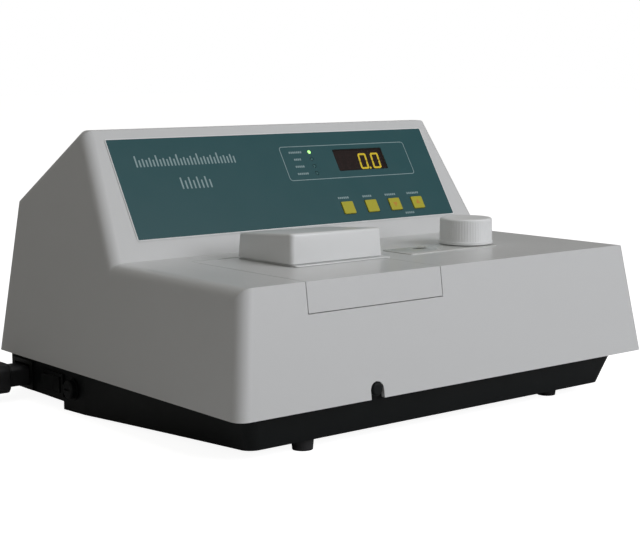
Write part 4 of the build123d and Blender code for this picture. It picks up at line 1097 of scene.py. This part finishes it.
class SPECTRO_OT_bezel(bpy.types.Operator):
    """Model the plate under the knob, with the slot that the dial's window fills"""

    bl_idname = "spectro.bezel"
    bl_label = "Dial bezel"

    # Millimetres from the instrument's middle: left, right, front, rear.
    plan = (12.0, 97.0, -91.0, -59.5)
    corner, edge_round = 1.8, 0.2
    lens_gap = 0.2          # by which the slot is longer and wider than the window
    well = (18.0, 8.9)      # the hole for the knob's shaft: its width and its corners' radius

    def execute(self, context):
        low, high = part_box("dial_plate")
        left, right, front, rear = (v * MM for v in self.plan)
        thick = high.z - low.z
        bezel = tile(right - left, rear - front, self.corner * MM, thick)
        round_over(bezel, lambda e: min(v.co.z for v in e.verts) > thick / 2, self.edge_round * MM, 2)
        bezel.data.transform(shift((left + right) / 2, (front + rear) / 2, low.z))
        lens_low, lens_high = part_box("dial_lens")
        knob_low, knob_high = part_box("wavelength_knob")
        lens, knob = (lens_low + lens_high) / 2, (knob_low + knob_high) / 2
        span, gap = lens_high - lens_low, self.lens_gap * MM
        slot = tile(span.x + gap, span.y + gap, span.y * 0.49, 4 * thick)
        slot.data.transform(shift(lens.x, lens.y, low.z - thick))
        width, corner = (v * MM for v in self.well)
        well = tile(width, width, corner, 4 * thick)
        well.data.transform(shift(knob.x, knob.y, low.z - thick))
        for cutter in (slot, well):
            modify(bezel, "BOOLEAN", operation="DIFFERENCE", object=cutter, solver="EXACT")
            bpy.data.objects.remove(cutter)
        settle(bezel, "dial_bezel", "plate_silver", stands_for=("dial_plate",), angle=40)
        return {"FINISHED"}


# ---- Knob ----
class SPECTRO_OT_knob(bpy.types.Operator):
    """Model the wavelength knob with its band, its fine flutes and its rounded top"""

    bl_idname = "spectro.knob"
    bl_label = "Wavelength knob"

    flutes = 60
    flute_depth = 0.34
    flute_ends = (2.5, 1.6)     # from the foot and from the top
    flute_share = 0.1           # of a pitch, to each side of a flute's middle
    dish = (3.0, 0.2)           # the shallow hollow in the top: its rim's width and its depth
    # Rings from the foot up: height above the foot (or below the top if negative), inset from the rim.
    rings = ((0.0, 0.25), (0.3, 0.0), (1.9, 0.0), (2.2, 0.35), (2.8, 0.35), (-1.9, 0.55), (-1.3, 0.6),
             (-0.7, 0.85), (-0.25, 1.35), (0.0, 2.1))

    def execute(self, context):
        low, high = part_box("wavelength_knob")
        middle = (low + high) / 2
        radius = (high.x - low.x) / 2
        height = high.z - low.z
        at, size = 0.0, radius - self.rings[0][1] * MM
        knob = disc(self.flutes * 4, size)
        with editing(knob):
            everything()
            for k, (up, inset) in enumerate(self.rings[1:]):
                level = up * MM + (height if up < 0 or k == len(self.rings) - 2 else 0)
                push(0, 0, level - at)
                wanted = radius - inset * MM
                scale = wanted / size
                bpy.ops.transform.resize(value=(scale, scale, 1), center_override=(0, 0, level))
                at, size = level, wanted
            bpy.ops.mesh.inset(thickness=self.dish[0] * MM)
            bpy.ops.transform.translate(value=(0, 0, -self.dish[1] * MM))
            step = math.tau / self.flutes
            start, stop = self.flute_ends[0] * MM, height - self.flute_ends[1] * MM

            def in_flute(vert):
                angle = math.atan2(vert.co.y, vert.co.x) % step
                return start < vert.co.z < stop and min(angle, step - angle) < step * self.flute_share

            pick(knob, "verts", in_flute)
            shrink = 1 - self.flute_depth * MM / radius
            bpy.ops.transform.resize(value=(shrink, shrink, 1), center_override=(0, 0, 0))
            outward()
        settle(
            knob, "knob_cap", "knob_white", body="knob", stands_for=("wavelength_knob",),
            place=shift(middle.x, middle.y, low.z), angle=40,
        )
        return {"FINISHED"}


# ---- Dial ----
class SPECTRO_OT_dial(bpy.types.Operator):
    """Print the wavelength ticks and numbers on the dial's ring"""

    bl_idname = "spectro.dial"
    bl_label = "Wavelength dial"

    first, last, under_lens = 325, 1000, 546
    sweep = 300.0
    minor, major = 5, 50
    # Millimetres.
    outer = 39.5            # radius of the ticks' outer ends
    ink = 0.05
    tick_width, tick_lengths = 0.30, (2.2, 4.2)
    number_size, number_inset = 3.2, 6.6

    def execute(self, context):
        _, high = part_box("dial_scale")
        lens_low, lens_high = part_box("dial_lens")
        dial_low, dial_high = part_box("dial_gear")
        centre = (dial_low + dial_high) / 2
        lens = (lens_low + lens_high) / 2
        start = math.degrees(math.atan2(lens.y - centre.y, lens.x - centre.x))
        outer, ink = self.outer * MM, self.ink * MM
        top = high.z - ink * 0.3
        made = []
        for value in range(self.first, self.last + 1, self.minor):
            angle = start + (value - self.under_lens) * self.sweep / (self.last - self.first)
            numbered = value % self.major == 0
            tall = self.tick_lengths[numbered] * MM
            tick = tile(self.tick_width * MM, tall, 0.0, ink)
            turn = Matrix.Rotation(math.radians(angle - 90), 4, "Z")
            tick.data.transform(shift(centre.x, centre.y, top) @ turn @ shift(0, outer - tall / 2))
            made.append(tick)
            if numbered:
                deselect()
                bpy.ops.object.text_add()
                number = context.object
                number.data.body = str(value)
                number.data.size = self.number_size * MM
                number.data.align_x = "CENTER"
                number.data.align_y = "CENTER"
                number.data.extrude = ink / 2
                number.data.resolution_u = 2
                bpy.ops.object.convert(target="MESH")
                number = context.object
                flip = Matrix.Rotation(math.radians(180), 4, "Z")
                inner = shift(0, outer - self.number_inset * MM) @ flip
                number.data.transform(shift(centre.x, centre.y, top + ink / 2) @ turn @ inner)
                made.append(number)
        moulded("dial_ink", (0.012, 0.012, 0.013), 0.5, grain=5000.0)
        settle(join(made), "dial_marks", "dial_ink", body="dial")
        return {"FINISHED"}


# ---- Finishes on the CAD nodes ----
class SPECTRO_OT_finishes(bpy.types.Operator):
    """Make every finish and give it to the nodes of its slot"""

    bl_idname = "spectro.finishes"
    bl_label = "Finishes"

    # Nodes whose finish differs a little from the rest of their slot: the dial's clear window is tinted
    # near-black as painted shade.
    own_finish = {"dial_lens": "lens_smoke"}

    def execute(self, context):
        make_finishes()
        slots = {row["node"]: row["material_slot"] for row in frame["record"]["subparts"]}
        slots.update(self.own_finish)
        missing = sorted(set(nodes) - set(slots))
        if missing:
            raise RuntimeError(f"no slot for {missing}")
        for name, piece in nodes.items():
            for slot in piece.material_slots:
                slot.material = finishes[slots[name]]
            if not piece.material_slots:
                piece.data.materials.append(finishes[slots[name]])
        return {"FINISHED"}


# ---- Add-on ----
class SPECTRO_PT_panel(bpy.types.Panel):
    """Lists the steps that dress the instrument"""

    bl_idname = "SPECTRO_PT_panel"
    bl_label = "Bench spectrophotometer"
    bl_space_type = "VIEW_3D"
    bl_region_type = "UI"
    bl_category = "Spectro"

    def draw(self, context):
        for group in PROPERTY_GROUPS:
            owner = getattr(context.scene, group)
            for name in owner.bl_rna.properties.keys():
                if name not in {"rna_type", "name"}:
                    self.layout.prop(owner, name)
        for step in STEPS:
            self.layout.operator(step.bl_idname)


STEPS = (
    SPECTRO_OT_finishes,
    SPECTRO_OT_stage,
    SPECTRO_OT_connector,
    SPECTRO_OT_plug,
    SPECTRO_OT_lead,
    SPECTRO_OT_print,
    SPECTRO_OT_key_marks,
    SPECTRO_OT_display,
    SPECTRO_OT_lid_cap,
    SPECTRO_OT_bezel,
    SPECTRO_OT_knob,
    SPECTRO_OT_dial,
)
PROPERTY_GROUPS = {
    "spectro_lead": SPECTRO_PG_lead,
    "spectro_print": SPECTRO_PG_print,
    "spectro_display": SPECTRO_PG_display,
    "spectro_colours": SPECTRO_PG_colours,
    "spectro_stage": SPECTRO_PG_stage,
}


def register():
    for name, group in PROPERTY_GROUPS.items():
        bpy.utils.register_class(group)
        setattr(bpy.types.Scene, name, bpy.props.PointerProperty(type=group))
    for step in STEPS:
        bpy.utils.register_class(step)
    bpy.utils.register_class(SPECTRO_PT_panel)


def unregister():
    bpy.utils.unregister_class(SPECTRO_PT_panel)
    for step in reversed(STEPS):
        bpy.utils.unregister_class(step)
    for name, group in reversed(PROPERTY_GROUPS.items()):
        delattr(bpy.types.Scene, name)
        bpy.utils.unregister_class(group)


def main():
    register()
    for step in STEPS:
        getattr(bpy.ops.spectro, step.bl_idname.split(".")[1])()


if __name__ == "__main__":
    main()
